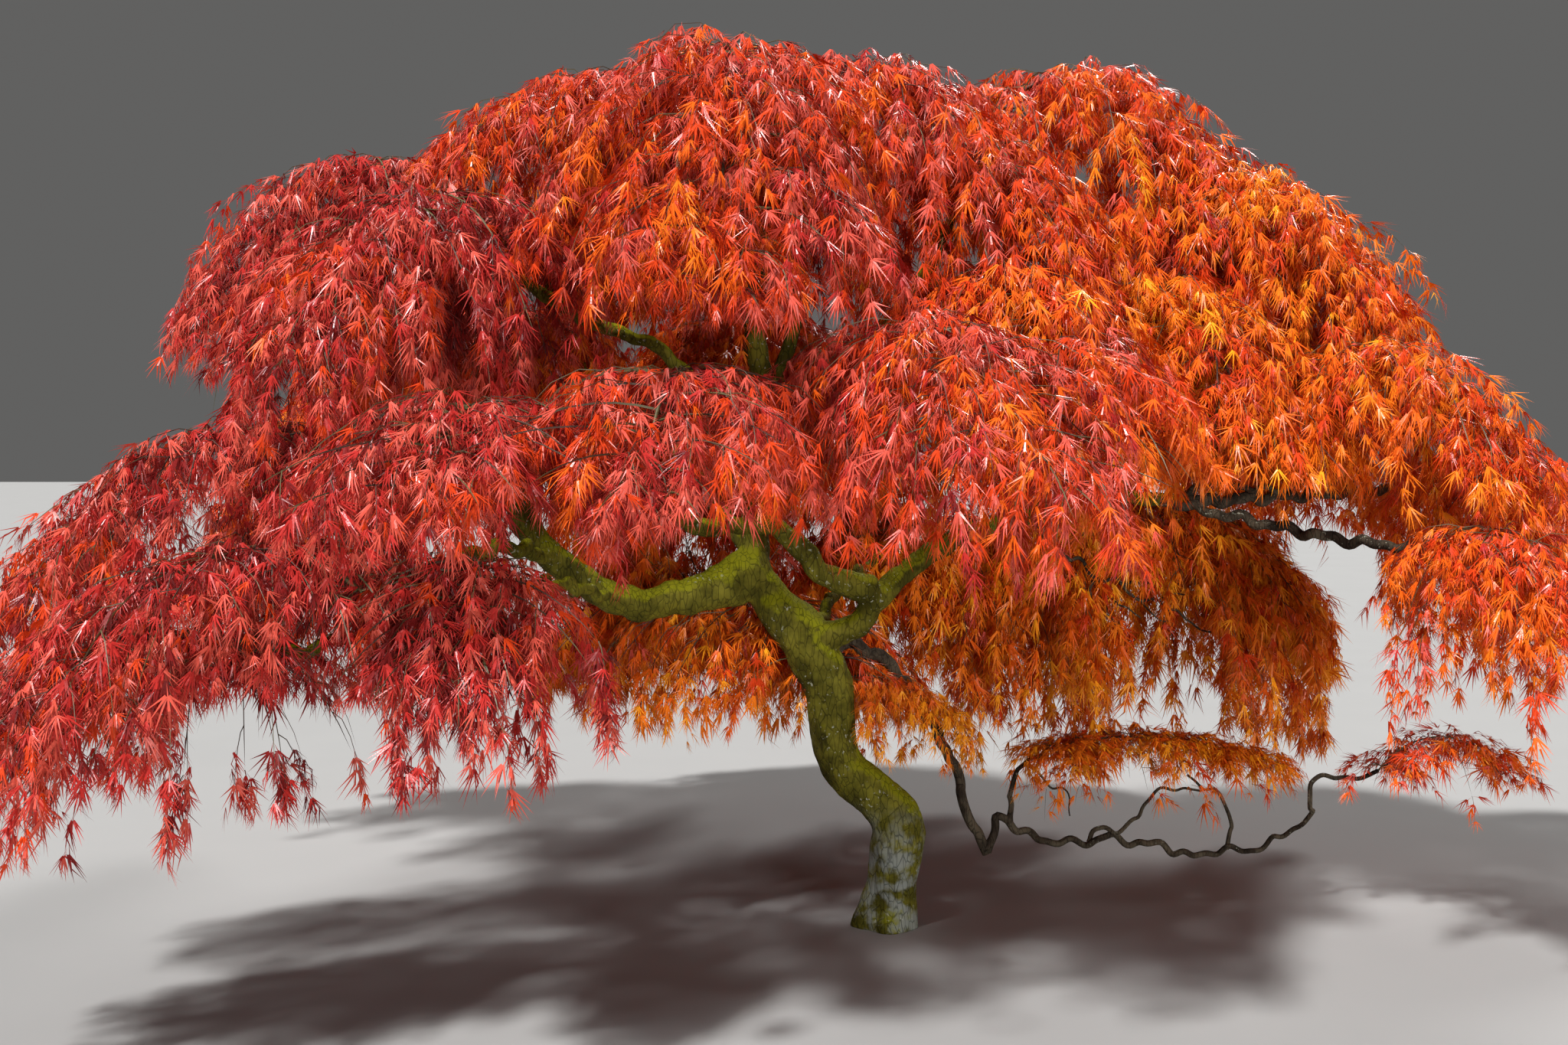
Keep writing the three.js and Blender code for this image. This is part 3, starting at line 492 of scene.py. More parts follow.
def swell(points, size, seed):
    """Smooth lumps from about -1 to 1: twice the mean of six sine waves of like wavelengths in six
    directions."""
    k = np.arange(6)
    way = unit(np.stack([noise(seed, k), noise(seed, k + 10), noise(seed, k + 20)], 1) - 0.5)
    wave = 2 * np.pi * (0.7 + 0.6 * noise(seed, k + 30)) / size
    return np.sin(points @ way.T * wave + 2 * np.pi * noise(seed, k + 40)).mean(-1) * 2


def walked_along(curve):
    """How far along a polyline each of its points lies."""
    steps = np.linalg.norm(np.diff(curve, axis=0), axis=1)
    return np.concatenate([[0], np.cumsum(steps)])


def points_at(curve, walked, at):
    """The places on a polyline at lengths walked along it."""
    return np.stack([np.interp(at, walked, curve[:, axis]) for axis in range(3)], -1)


def evenly(curve, count):
    """count points spaced evenly by length along a polyline, and its length."""
    walked = walked_along(curve)
    return points_at(curve, walked, np.linspace(0, walked[-1], count)), walked[-1]


def smooth_path(points, step):
    """Points a step apart on the centripetal Catmull-Rom curve through points, and its length.
    Between two points b and c the curve is the cubic that starts at b with the slope
    h((b-a)/g - (c-a)/(g+h) + (c-b)/h) and ends at c with the like slope, where g, h and i are the
    square roots of the distances a to b, b to c and c to d."""
    p = np.asarray(points, float)
    p = np.vstack([2 * p[0] - p[1], p, 2 * p[-1] - p[-2]])
    root = np.linalg.norm(np.diff(p, axis=0), axis=1)[:, None] ** 0.5
    g, h, i = root[:-2], root[1:-1], root[2:]
    a, b, c, d = p[:-3], p[1:-2], p[2:-1], p[3:]
    leave = h * ((b - a) / g - (c - a) / (g + h) + (c - b) / h)
    arrive = h * ((c - b) / h - (d - b) / (h + i) + (d - c) / i)
    u = np.linspace(0, 1, CURVE_STEPS + 1)[:-1, None, None]
    curve = b + leave * u + (3 * (c - b) - 2 * leave - arrive) * u ** 2
    curve = curve + (2 * (b - c) + leave + arrive) * u ** 3
    curve = np.vstack([curve.transpose(1, 0, 2).reshape(-1, 3), p[-2]])
    length = evenly(curve, 2)[1]
    return evenly(curve, max(4, int(length / step)))


def trunk_line():
    """The trunk's middle line and radii: circles through the stations, swollen in lobes at the foot
    by 1 + depth exp(-(z/height) squared)(1 + cos of lobes times the angle)/2."""
    stations = np.array(TRUNK_STATIONS, float) * MM
    below = stations[0, :3] - [0, 0, CUT_DEPTH]
    path, _ = smooth_path(np.vstack([below, stations[:, :3]]), RING_STEP)
    height = np.maximum(path[:, 2], 0)
    plain = np.interp(height, stations[:, 2], stations[:, 3])
    angle = np.linspace(0, 2 * np.pi, TRUNK_SIDES, endpoint=False)
    lobes = 0.5 + 0.5 * np.cos(FLARE_LOBES * angle)
    fade = np.exp(-(height / FLARE_HEIGHT) ** 2)[:, None]
    return path, plain[:, None] * (1 + FLARE_DEPTH * fade * lobes)


def kinked(path, amount, seed):
    """A path bent to and fro: moved by amount times two sine waves of its length across it and up,
    the second 0.7 of the first, which fade out over the sixth of it at each end."""
    share = np.linspace(0, 1, len(path))[:, None]
    walked = np.arange(len(path))[:, None] * RING_STEP
    fade = np.minimum(1, 6 * np.minimum(share, 1 - share))
    chance = 2 * np.pi * noise(seed, np.arange(4))
    up, over = (np.sin(walked * first + chance[k]) + 0.7 * np.sin(walked * second + chance[k + 1])
                for k, (first, second) in zip((0, 2), KINK_WAVES))
    return path + amount * fade * np.concatenate([0.5 * over, over, up], 1)


def bough_line(name, lines):
    """A bough's middle line, from the nearest point of its carrier's line to the hub of its mass,
    and its radii: root + (tip - root) share^taper, swollen at the root by 1 + collar exp(-(s/fade)
    squared) where s is the length walked."""
    carrier, root, tip, mass, points = BOUGHS[name]
    points = np.array(points + ([MASSES[mass][0]] if mass else []), float) * MM
    line = lines[carrier][0]
    points[0] = line[np.linalg.norm(line - points[0], axis=1).argmin()]
    path, length = smooth_path(points, RING_STEP)
    main = name in MAIN_LIMBS
    path = kinked(path, KINKS[main], len(lines))
    share = np.linspace(0, 1, len(path))
    radius = (root + (tip - root) * share ** BOUGH_TAPER) * MM
    radius = radius * (1 + COLLAR * np.exp(-(share * length / (COLLAR_LENGTH * root * MM)) ** 2))
    return path, np.repeat(radius[:, None], BOUGH_SIDES[main], 1)


def limb_lines():
    """The middle line and the radii of the trunk and of every bough, by name."""
    lines = {"trunk": trunk_line()}
    for name in BOUGHS:
        lines[name] = bough_line(name, lines)
    return lines


def shoot_line(points):
    """The middle line of a bare shoot through points in millimetres."""
    return smooth_path(np.array(points, float) * MM, RING_STEP)[0]


LINES = limb_lines()


def ring_frames(path):
    """Two unit vectors across a path at each point: one square to the path and to the direction in
    which the path spreads least, and one square to both."""
    tangent = unit(np.gradient(path, axis=0))
    least = np.linalg.svd(path - path.mean(0), full_matrices=False)[2][-1]
    side = unit(np.cross(tangent, least))
    return side, np.cross(side, tangent)


def ring_walls(rings, sides):
    """The faces between neighbouring rings of a tube, two triangles for each of its sides."""
    i = np.arange(rings - 1)[:, None] * sides
    j = np.arange(sides)
    k = (j + 1) % sides
    corners = i + j, i + k, i + sides + k, i + sides + j
    return np.concatenate([np.stack([corners[n] for n in chosen], -1).reshape(-1, 3)
                           for chosen in ((0, 1, 2), (0, 2, 3))])


def tube(path, radius):
    """A closed limb: path(s) + radius(s, a)(side cos a + up sin a), for the angle a round it, with
    a point at the middle of each end. radius holds a row for each ring."""
    side, up = ring_frames(path)
    rings, sides = radius.shape
    angle = np.linspace(0, 2 * np.pi, sides, endpoint=False)
    across = side[:, None] * np.cos(angle)[:, None] + up[:, None] * np.sin(angle)[:, None]
    points = (path[:, None] + across * radius[..., None]).reshape(-1, 3)
    points = np.vstack([points, path[:1], path[-1:]])
    j = np.arange(sides)
    k = (j + 1) % sides
    first, last = rings * sides, rings * sides + 1
    foot = np.stack([k, j, np.full(sides, first)], 1)
    head = np.stack([j, k, np.full(sides, last)], 1) + [[(rings - 1) * sides] * 2 + [0]]
    return points, np.concatenate([ring_walls(rings, sides), foot, head])[:, ::-1]


def thin_tubes(paths, across, radii):
    """Three-sided shoots, each with its own path in paths(n, s, 3) and each ending in a point:
    path(s) + radius(s)(across cos a + up sin a). across is square to the flat that a path lies
    in."""
    tangent = unit(np.gradient(paths, axis=1))
    up = np.cross(across[:, None], tangent)
    angle = np.arange(3) * 2 * np.pi / 3
    ring = across[:, None, None] * np.cos(angle)[:, None] + up[:, :, None] * np.sin(angle)[:, None]
    points = paths[:, :, None] + ring * radii[:, :, None, None]
    count, rings = paths.shape[:2]
    points = points[:, :-1].reshape(count, -1, 3)
    points = np.concatenate([points, paths[:, -1:]], 1)
    tip = 3 * (rings - 1)
    head = [[tip - 3, tip - 2, tip], [tip - 2, tip - 1, tip], [tip - 1, tip - 3, tip]]
    one = np.concatenate([ring_walls(rings - 1, 3), head, [[2, 1, 0]]])
    faces = one + (np.arange(count) * (tip + 1))[:, None, None]
    return points.reshape(-1, 3), faces.reshape(-1, 3)[:, ::-1]


def joined(parts):
    """Several (points, faces) as one."""
    starts = np.cumsum([0] + [len(points) for points, _ in parts])
    return (np.concatenate([points for points, _ in parts]),
            np.concatenate([faces + start for (_, faces), start in zip(parts, starts)]))


def new_piece(name, points, faces, material, slot, nodes, smooth=True):
    """The object of a triangle mesh with its material. It rides on the plant when a slot is given,
    and the nodes that it stands for are hidden."""
    mesh = bpy.data.meshes.new(name)
    mesh.vertices.add(len(points))
    mesh.vertices.foreach_set("co", points.astype(np.float32).ravel())
    mesh.loops.add(faces.size)
    mesh.loops.foreach_set("vertex_index", faces.astype(np.int32).ravel())
    mesh.polygons.add(len(faces))
    mesh.polygons.foreach_set("loop_start", np.arange(0, faces.size, 3, dtype=np.int32))
    mesh.polygons.foreach_set("use_smooth", np.full(len(faces), smooth))
    mesh.update(calc_edges=True)
    mesh.materials.append(material)
    piece = bpy.data.objects.new(name, mesh)
    bpy.context.scene.collection.objects.link(piece)
    if slot:
        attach(piece, "root")
    if nodes:
        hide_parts(*nodes)
    return piece


def muscled(path, radius, seed):
    """The radii with long strands that wind round the limb: times 1 + 0.05 sin(2a + s) + 0.04
    sin(3a - 1.7s), where s is the length walked over the strands' length."""
    angle = np.linspace(0, 2 * np.pi, radius.shape[1], endpoint=False)
    walked = np.arange(len(path))[:, None] * RING_STEP / STRAND_LENGTH + seed
    twofold = 0.05 * np.sin(2 * angle + walked)
    return radius * (1 + twofold + 0.04 * np.sin(3 * angle - 1.7 * walked))


def remeshed(piece, voxel, rounds):
    """The piece's overlapping tubes made one skin by a voxel remesh, with its joints rounded."""
    remesh = piece.modifiers.new("One skin", "REMESH")
    remesh.mode = "VOXEL"
    remesh.voxel_size = voxel
    remesh.use_smooth_shade = True
    ease = piece.modifiers.new("Rounded joints", "SMOOTH")
    ease.factor = JOINT_EASE
    ease.iterations = rounds
    bpy.context.view_layer.update()
    seen = piece.evaluated_get(bpy.context.evaluated_depsgraph_get())
    mesh = bpy.data.meshes.new_from_object(seen)
    mesh.name = piece.name
    piece.modifiers.clear()
    piece.data = mesh
    return mesh


def bark_relief(points):
    """Height of the bark's relief over its plain skin: coarse and fine lumps, and shallow creases
    where a finer swell passes through nought. All but the coarse ones are drawn out along Z."""
    stretched = points * [1, 1, BARK_DRAWN]
    (coarse, coarse_height, coarse_seed), (fine, fine_height, fine_seed) = BARK_LUMPS
    lumps = (coarse_height * swell(points, coarse, coarse_seed)
             + fine_height * swell(stretched, fine, fine_seed))
    size, depth, seed = BARK_CREASES
    return lumps - depth * np.exp(-(swell(stretched, size, seed) / CREASE_WIDTH) ** 2)


def lift_bark(mesh):
    """Moves each vertex along its normal by the bark's relief."""
    count = len(mesh.vertices)
    points = np.empty(count * 3, np.float32)
    mesh.vertices.foreach_get("co", points)
    normals = np.empty(count * 3, np.float32)
    mesh.vertex_normals.foreach_get("vector", normals)
    points, normals = points.reshape(-1, 3).astype(float), normals.reshape(-1, 3)
    points += normals * bark_relief(points)[:, None]
    mesh.vertices.foreach_set("co", points.astype(np.float32).ravel())
    mesh.update()


def cut_flat(mesh):
    """Cuts off what lies below the ground and closes the cut with a flat face."""
    shape = bmesh.new()
    shape.from_mesh(mesh)
    everything = shape.verts[:] + shape.edges[:] + shape.faces[:]
    cut = bmesh.ops.bisect_plane(shape, geom=everything, plane_co=(0, 0, 0), plane_no=(0, 0, 1),
                                 clear_inner=True)
    rim = [e for e in cut["geom_cut"] if isinstance(e, bmesh.types.BMEdge)]
    bmesh.ops.holes_fill(shape, edges=rim, sides=0)
    bmesh.ops.triangulate(shape, faces=shape.faces[:])
    shape.to_mesh(mesh)
    shape.free()


def stem_points(mass, seed, shares):
    """Points of a mass's arched stem at shares of its length. At t it is hub + forward t, swayed by
    sway sin(2 pi (waves t + chance)) t (1 - t) to its side, and raised by fall t squared + 4 rise
    t (1 - t)."""
    hub, end = (np.array(place, float) * MM for place in mass[:2])
    run, rise = end - hub, mass[2] * MM
    forward = run * [1, 1, 0]
    aside = np.array([-forward[1], forward[0], 0])
    t = np.linspace(0, 1, 201)[:, None]
    wave = STEM_SWAY * np.sin(2 * np.pi * (STEM_WAVES * t + draw("sway", seed))) * t * (1 - t)
    sunk = STEM_SINK * min(1, mass[3] * MM / FULL_HALF_WIDTH)
    height = run[2] * t ** 2 + 4 * (rise - sunk) * t * (1 - t)
    curve = hub + forward * t + aside * wave + height * [0, 0, 1]
    walked = walked_along(curve)
    return points_at(curve, walked, np.asarray(shares) * walked[-1])


def turned(out, angle):
    """Level directions turned by angles about the vertical."""
    c, s = np.cos(angle), np.sin(angle)
    return np.stack([out[..., 0] * c - out[..., 1] * s, out[..., 0] * s + out[..., 1] * c,
                     np.zeros_like(c)], -1)


def side_twigs(mass, seed, rows, hem, spray, held):
    """Starts, level directions, reaches and drops of a mass's side twigs. They leave the stem by
    turns on its two sides, almost backwards near its hub and almost forwards near its end, a ring
    of shorter ones leaves the hub, and the held ones come last. The drops end so far above the hem
    as the sprays hang."""
    half, skirt, count = mass[3] * MM, mass[4] * MM, mass[5]
    row, k = np.repeat(np.arange(rows), count), np.tile(np.arange(count), rows)
    chance = seed + ROW_DRAWS * row
    share = within((FIRST_TWIG, 1), np.clip((k + 0.5 + row / rows) / count, 0, 1))
    side = np.where((k + row) % 2, 1, -1)
    turn = side * within(TURN_RANGE, share) + TURN_CHANCE * (draw("twig turn", chance, k) - 0.5)
    fullness = within(FULLNESS_RANGE, np.sin(np.pi * within(WIDE_PHASES, share)))
    reach = half * fullness * within(REACH_RANGE, draw("twig reach", chance, k))
    drop = skirt * within(DROP_RANGE, draw("twig drop", chance, k))
    ring = np.arange(HUB_TWIGS)
    hub_turn = 360 / HUB_TWIGS * (ring + HUB_CHANCE * draw("ring turn", seed, ring))
    hub_reach = half * HUB_REACH * within(REACH_RANGE, draw("ring reach", seed, ring))
    hub_drop = skirt * HUB_DROP * within(DROP_RANGE, draw("ring drop", seed, ring))
    held_share, held_turn, held_reach, held_drop = np.reshape(held, (-1, 4)).T
    share = np.concatenate([share, np.full(HUB_TWIGS, FIRST_TWIG), held_share])
    reach = np.concatenate([reach, hub_reach, held_reach * MM])
    drop = np.concatenate([drop, hub_drop, held_drop * MM])
    run = np.array(mass[1], float) - mass[0]
    angle = math.atan2(run[1], run[0]) + np.radians(np.concatenate([turn, hub_turn, held_turn]))
    out = np.stack([np.cos(angle), np.sin(angle), 0 * angle], -1)
    start = stem_points(mass, seed, share)
    drop = np.minimum(drop, np.maximum(LEAST_DROP, start[:, 2] - hem - HANG * spray))
    return [a[:, None] for a in (start, out, reach, drop)]


def twig_points(twigs, lift, t):
    """Points of side twigs at t: start + direction reach t, raised by 4 lift t (1 - t) and lowered
    by drop t^fall."""
    start, out, reach, drop = twigs
    point = start + out * (reach * t)[..., None]
    point[..., 2] += 4 * lift * t * (1 - t) - drop * t ** TWIG_FALL
    return point


def shoot_curves(shoots, u):
    """Points of drooping shoots at u: level by length level (1.3 u - 0.3 u squared), down by length
    down u^1.6, and arched up by rise length 4 u (1 - u), where level and down are the shares of a
    direction that is steeper in the skirt."""
    root, out, steep, length, rise = (shoots[key][:, None]
                                      for key in ("root", "out", "steep", "length", "rise"))
    level = 1 - LEVEL_LOST * steep
    size = length / np.hypot(level, steep)
    point = root + out * (size * level * (1.3 * u - 0.3 * u ** 2))[..., None]
    point[..., 2] += rise * length * u * (1 - u) * 4 - size * steep * u ** 1.6
    return point


def open_twigs(twigs, lift, held):
    """The side twigs that keep enough of their length before an opening, with the share of it that
    they keep. The last ones are held and keep all."""
    free = open_space(twig_points(twigs, lift, np.linspace(0, 1, TWIG_TESTS)[None]))
    free[len(free) - held:] = True
    end = np.where(free.all(1), TWIG_TESTS, free.argmin(1))[:, None] / TWIG_TESTS
    kept = end[:, 0] > LEAST_TWIG
    return [a[kept] for a in twigs], end[kept]


def twig_shoots(twigs, lift, end, count, seed):
    """Roots, directions and places of the shoots on side twigs, with the numbers of their chances.
    They leave a twig by turns on its two sides, and the last one at its end."""
    i, j = np.meshgrid(np.arange(len(end)), np.arange(count), indexing="ij")
    k = TWIG_DRAWS * i + j
    last = j == count - 1
    moved = j + SHOOT_JITTER * draw("shoot place", seed, k) - SHOOT_JITTER / 2
    share = within(SHOOT_PLACES, moved / (count - 1))
    share = end * np.where(last, 1, share.clip(FIRST_SHOOT, 1))
    chance = draw("shoot turn", seed, k)
    side = np.where((i + j) % 2, 1, -1)
    swing = np.where(last, chance - 0.5, side * within(SHOOT_ASIDE, chance))
    out = turned(twigs[1], swing).reshape(-1, 3)
    return twig_points(twigs, lift, share).reshape(-1, 3), out, share.ravel(), k.ravel()


def crest_shoots(mass, stem, spacing, seed):
    """Roots, directions, places and rises of the shoots on a mass's stem, with the numbers of their
    chances."""
    length = np.linalg.norm(np.diff(stem, axis=0), axis=1).sum()
    k = np.arange(round(CREST_SHOOTS * length / spacing))
    forward = unit((stem[-1] - stem[0]) * [1, 1, 0])[None]
    aside = np.where(k % 2, 1, -1) * within(CREST_ASIDE, draw("crest turn", seed, k))
    root = stem_points(mass, seed, (k + 0.5) / len(k))
    share = within(CREST_STEEP, draw("crest steep", seed, k))
    lift = within(CREST_LIFT, draw("crest lift", seed, k))
    return root, turned(forward, aside), share, lift, k


def grow(name, seed, foliage):
    """One mass: its stem's points, its side twigs' and shoots' paths, and where its leaves hang."""
    mass, pad = MASSES[name], name in PADS
    half, skirt = mass[3] * MM, mass[4] * MM
    small = min(1, half / FULL_HALF_WIDTH)
    spray = small * SPRAY_LENGTH * within((SHORTEST_SPRAY, 1), min(1, skirt / FULL_SKIRT))
    hem = HEMS.get(name, 0) * MM
    rows = max(FEWEST_ROWS, round(ROWS_MORE.get(name, 1) * half / ROW_WIDTH))
    lift = TWIG_LIFT * half
    held = HELD_TWIGS.get(name, [])
    twigs, end = open_twigs(side_twigs(mass, seed, rows, hem, spray, held), lift, len(held))
    twig_paths = twig_points(twigs, lift, end * np.linspace(0, 1, TWIG_RINGS))
    length = np.linalg.norm(np.diff(twig_paths, axis=1), axis=2).sum(1).mean()
    spacing = foliage.shoot_spacing * small ** 0.5
    count = max(FEWEST_SHOOTS, round(length / spacing))
    root, out, share, k = twig_shoots(twigs, lift, end, count, seed)
    stem = stem_points(mass, seed, np.linspace(0, 1, STEM_RINGS))
    crest_root, crest_out, crest_share, crest_rise, crest = crest_shoots(mass, stem, spacing, seed)
    crossing = np.zeros(len(root) + len(crest), int)
    crossing[len(root) - count * len(held):len(root)] = 1 if name in STOPPED_MASSES else 2
    root, out = np.concatenate([root, crest_root]), np.concatenate([out, crest_out])
    share, k = np.append(share, crest_share), np.append(k, TWIG_DRAWS * len(end) + crest)
    steep = within(STEEP_RANGE, share) * (PAD_STEEP if pad else 1)
    rise = np.append(SHOOT_CREST * (1 - steep[:len(steep) - len(crest)]), crest_rise)
    chance = draw("spray", seed, k)
    lowest = np.maximum(hem + HEM_RAG * (chance - 0.5), LOWEST_LEAF) + SHOOT_TIP * small
    room = (root[:, 2] - lowest) * np.hypot(1 - LEVEL_LOST * steep, steep) / steep
    length = np.minimum(spray * within(SHOOT_SHARE, draw("shoot length", seed, k)), room)
    kept = (open_space(root) | (crossing > 0)) & (length > LEAST_SHOOT * small)
    kept &= swell(root, TASSEL_SIZE, seed) > within(THIN_RANGE, share)
    shoots = {"root": root, "out": out, "steep": steep, "length": length, "rise": rise,
              "chance": chance, "crossing": crossing}
    shoots = {key: a[kept] for key, a in shoots.items()}
    paths = shoot_curves(shoots, np.linspace(0, 1, SHOOT_RINGS)[None])
    kept = open_space(paths).all(1) | (shoots["crossing"] > 0)
    return {"seed": seed, "small": small, "hem": hem, "stem": stem, "shoot_paths": paths[kept],
            "twig_paths": twig_paths, "twig_out": twigs[1][:, 0],
            "shoots": {key: a[kept] for key, a in shoots.items()},
            "warm": TINT_PLACE[mass[6]] + WARMER.get(name, 0), "raised": PAD_RISE if pad else 0}


def sight_gap(points, line):
    """How far the sight lines from the camera's place to points pass from those to a line, measured
    at the line, and how much nearer than the line the points are."""
    view, aim = points - EYE, line - EYE
    flat, mark = view[..., [0, 2]] / view[..., 1:2], aim[:, [0, 2]] / aim[:, 1:2]
    away = np.linalg.norm(flat[..., None, :] - mark, axis=-1) * aim[:, 1]
    nearest = away.argmin(-1)
    return np.take_along_axis(away, nearest[..., None], -1)[..., 0], aim[nearest, 1] - view[..., 1]


def open_space(points):
    """False for points that would hide a stretch of limb which shows, or close a gap to the sky.
    The edges of such openings are ragged."""
    ragged = 1 + GAP_RAG * swell(points, GAP_LUMPS, GAP_SEED)
    free = np.ones(points.shape[:-1], bool)
    limb_marks, gap_marks = SIGHT_MARKS
    for limb, first, last, radius in SHOWN_LIMBS:
        path = LINES[limb][0] if limb in LINES else shoot_line(RIGHT_SHOOTS[limb][2])
        chosen = path[(np.linspace(first, last, limb_marks) * (len(path) - 1)).astype(int)]
        away, nearer = sight_gap(points, chosen)
        free &= (away > radius * MM * ragged) | (nearer < 0)
    for start, end, radius in SKY_GAPS:
        line = np.linspace(start, end, gap_marks) * MM
        free &= sight_gap(points, line)[0] > radius * MM * ragged
    return free


def mass_leaves(grown, foliage):
    """The leaves of one mass: pairs along each shoot and one at its end. Gives their places, axes,
    sides, faces, sizes, shapes and tints. A leaf's axis is the shoot's level direction turned
    aside, which dips the more the steeper the shoot is and the nearer its end the leaf hangs, and
    the leaf is rolled about that axis."""
    seed, small, shoots = grown["seed"], grown["small"], grown["shoots"]
    small = max(small, PAD_LEAF) if grown["raised"] else small
    spacing = foliage.leaf_spacing * small ** 0.5
    pairs = max(FEWEST_PAIRS, round(shoots["length"].mean() / spacing))
    u = np.concatenate([np.repeat((np.arange(pairs) + LEAF_PLACE) / pairs, 2), [1.0]])
    side = np.concatenate([np.tile([1, -1], pairs), [0]])
    i, j = np.meshgrid(np.arange(len(shoots["root"])), np.arange(len(u)), indexing="ij")
    k = SHOOT_DRAWS * i + j
    jitter = np.where(side == 0, 0, 1 / pairs) * (draw("leaf place", seed, k) - 0.5)
    place = shoot_curves(shoots, u + jitter)
    turn = np.radians(side * within(LEAF_ASIDE, draw("leaf turn", seed, k)))
    turn = turn + HEADING_CHANCE * (draw("leaf heading", seed, k) - 0.5)
    out = turned(shoots["out"][:, None], turn)
    hang = np.clip(LEAF_HANG[0] * shoots["steep"][:, None] + LEAF_HANG[1] * u, 0, 1)
    dip = within(LEAF_DIP, hang) + DIP_CHANCE * (draw("leaf dip", seed, k) - 0.5)
    dip = np.radians(dip - grown["raised"])[..., None]
    up = np.array([0, 0, 1])
    axis = out * np.cos(dip) - up * np.sin(dip)
    face = out * np.sin(dip) + up * np.cos(dip)
    across = np.cross(axis, face)
    roll = LEAF_ROLL * (draw("leaf roll", seed, k) - 0.5)[..., None]
    across, face = (across * np.cos(roll) + face * np.sin(roll),
                    face * np.cos(roll) - across * np.sin(roll))
    far = 1 + FAR_SIZE * np.clip(place[..., 1] / FAR_DEPTH, 0, 1)
    size = foliage.leaf_length * within(SIZE_RANGE, draw("leaf size", seed, k))
    size = size * small ** 0.5 * far
    shape = (draw("leaf shape", seed, k) * LEAF_SHAPES).astype(int)
    warm = grown["warm"] + SPRAY_TINT * (shoots["chance"][:, None] - 0.5)
    warm = warm + PATCH_TINT * swell(shoots["root"], PATCH_SIZE, seed)[:, None]
    # painted shade: leaves near a shoot's root are moved towards the dark tints
    warm = warm + LEAF_TINT * (draw("leaf tint", seed, k) - 0.5) - ROOT_SHADE * (1 - u) ** 2
    tint = np.clip(np.round(warm), 0, len(TINTS) - 1).astype(int)
    rows = [a.reshape(-1, 3) for a in (place, axis, across, face)]
    rows += [a.reshape(-1) for a in (size, shape, tint)]
    hem = np.maximum(grown["hem"] + HEM_RAG * (shoots["chance"] - 0.5), LOWEST_LEAF)
    hem, crossing = (np.repeat(a, len(u)) for a in (hem, shoots["crossing"]))
    keep = rows[0][:, 2] - LEAF_ROOM * rows[4] > hem
    keep = keep & open_space(rows[0]) | (crossing == 2)
    return [a[keep] for a in rows]


def lobe_directions(lobes, seed):
    """For each leaf shape and lobe, the lobe's direction in the leaf's flat, half its width beside
    it, its length and its droop."""
    shapes = np.arange(LEAF_SHAPES)[:, None]
    own = noise(seed, shapes * 10 + np.arange(len(lobes)))
    angle, length = np.transpose(lobes)
    spread = within(SPREAD_RANGE, noise(LEAF_SEEDS["spread"], shapes))
    angle = np.radians(angle) * spread + LOBE_TURN * (own - 0.5)
    length = (length * within(LOBE_LENGTHS, own))[..., None]
    droop = within(DROOP_RANGE, noise(LEAF_SEEDS["droop"], shapes)) + LOBE_FALL * (own - 0.5)
    droop = np.radians(droop)[..., None]
    away = np.stack([np.sin(angle), np.cos(angle), 0 * angle], -1)
    beside = np.stack([np.cos(angle), -np.sin(angle), 0 * angle], -1) * LOBE_WIDTH / 2
    return away, beside, length, droop


def leaf_shapes():
    """The points of each leaf shape, and the faces that they share. A leaf is a stalk along y with
    seven lobes at its end. A side lobe is a thin triangle with its short side at the stalk's end
    and its tip lowered by its droop. The middle lobe is two triangles, from the stalk's root to the
    two sides of its widest place, and from there to a tip that falls further."""
    hub = np.array([0, STALK_LENGTH, 0])
    down = np.array([0, 0, 1])
    away, beside, length, droop = lobe_directions(SIDE_LOBES, LEAF_SEEDS["side"])
    base = hub + away * LOBE_BASE
    tip = base + (away * np.cos(droop) - down * np.sin(droop)) * (length - LOBE_BASE)
    side = np.stack([base - beside, base + beside, tip], 2)
    away, beside, length, droop = lobe_directions(MIDDLE_LOBE, LEAF_SEEDS["middle"])
    bend = hub + (away * np.cos(droop / 2) - down * np.sin(droop / 2)) * length * LOBE_BEND
    further = droop / 2 + np.radians(BENT_FALL)
    tip = bend + (away * np.cos(further) - down * np.sin(further)) * length * (1 - LOBE_BEND)
    bent = np.stack([bend - beside, bend + beside, tip], 2)
    root = np.zeros((LEAF_SHAPES, 1, 3))
    points = np.concatenate([root, side.reshape(LEAF_SHAPES, -1, 3), bent[:, 0]], 1)
    i = 1 + 3 * np.arange(len(SIDE_LOBES) + 1)[:, None]
    faces = np.concatenate([i, i + 1, i + 2], 1)
    return points, np.concatenate([faces, [[0, i[-1, 0] + 1, i[-1, 0]]]])


def leaf_mesh(rows):
    """Points and faces of leaves: place + size (x across + y axis + z face) for the points x, y, z
    of the leaf's shape."""
    place, axis, across, face, size, shape, _ = rows
    shapes, faces = leaf_shapes()
    local = shapes[shape] * size[:, None, None]
    points = (place[:, None] + local[..., :1] * across[:, None] + local[..., 1:2] * axis[:, None]
              + local[..., 2:] * face[:, None])
    starts = np.arange(len(place)) * shapes.shape[1]
    return points.reshape(-1, 3), (faces + starts[:, None, None]).reshape(-1, 3)


def new_material(name):
    """A material with a Principled BSDF, its node tree and that shader."""
    material = bpy.data.materials.new(name)
    material.use_nodes = True
    tree = material.node_tree
    return material, tree, tree.nodes["Principled BSDF"]


def set_input(tree, node, socket, value):
    """Links a socket to another node's output, or sets its value."""
    if isinstance(value, bpy.types.NodeSocket):
        tree.links.new(value, node.inputs[socket])
    else:
        node.inputs[socket].default_value = value


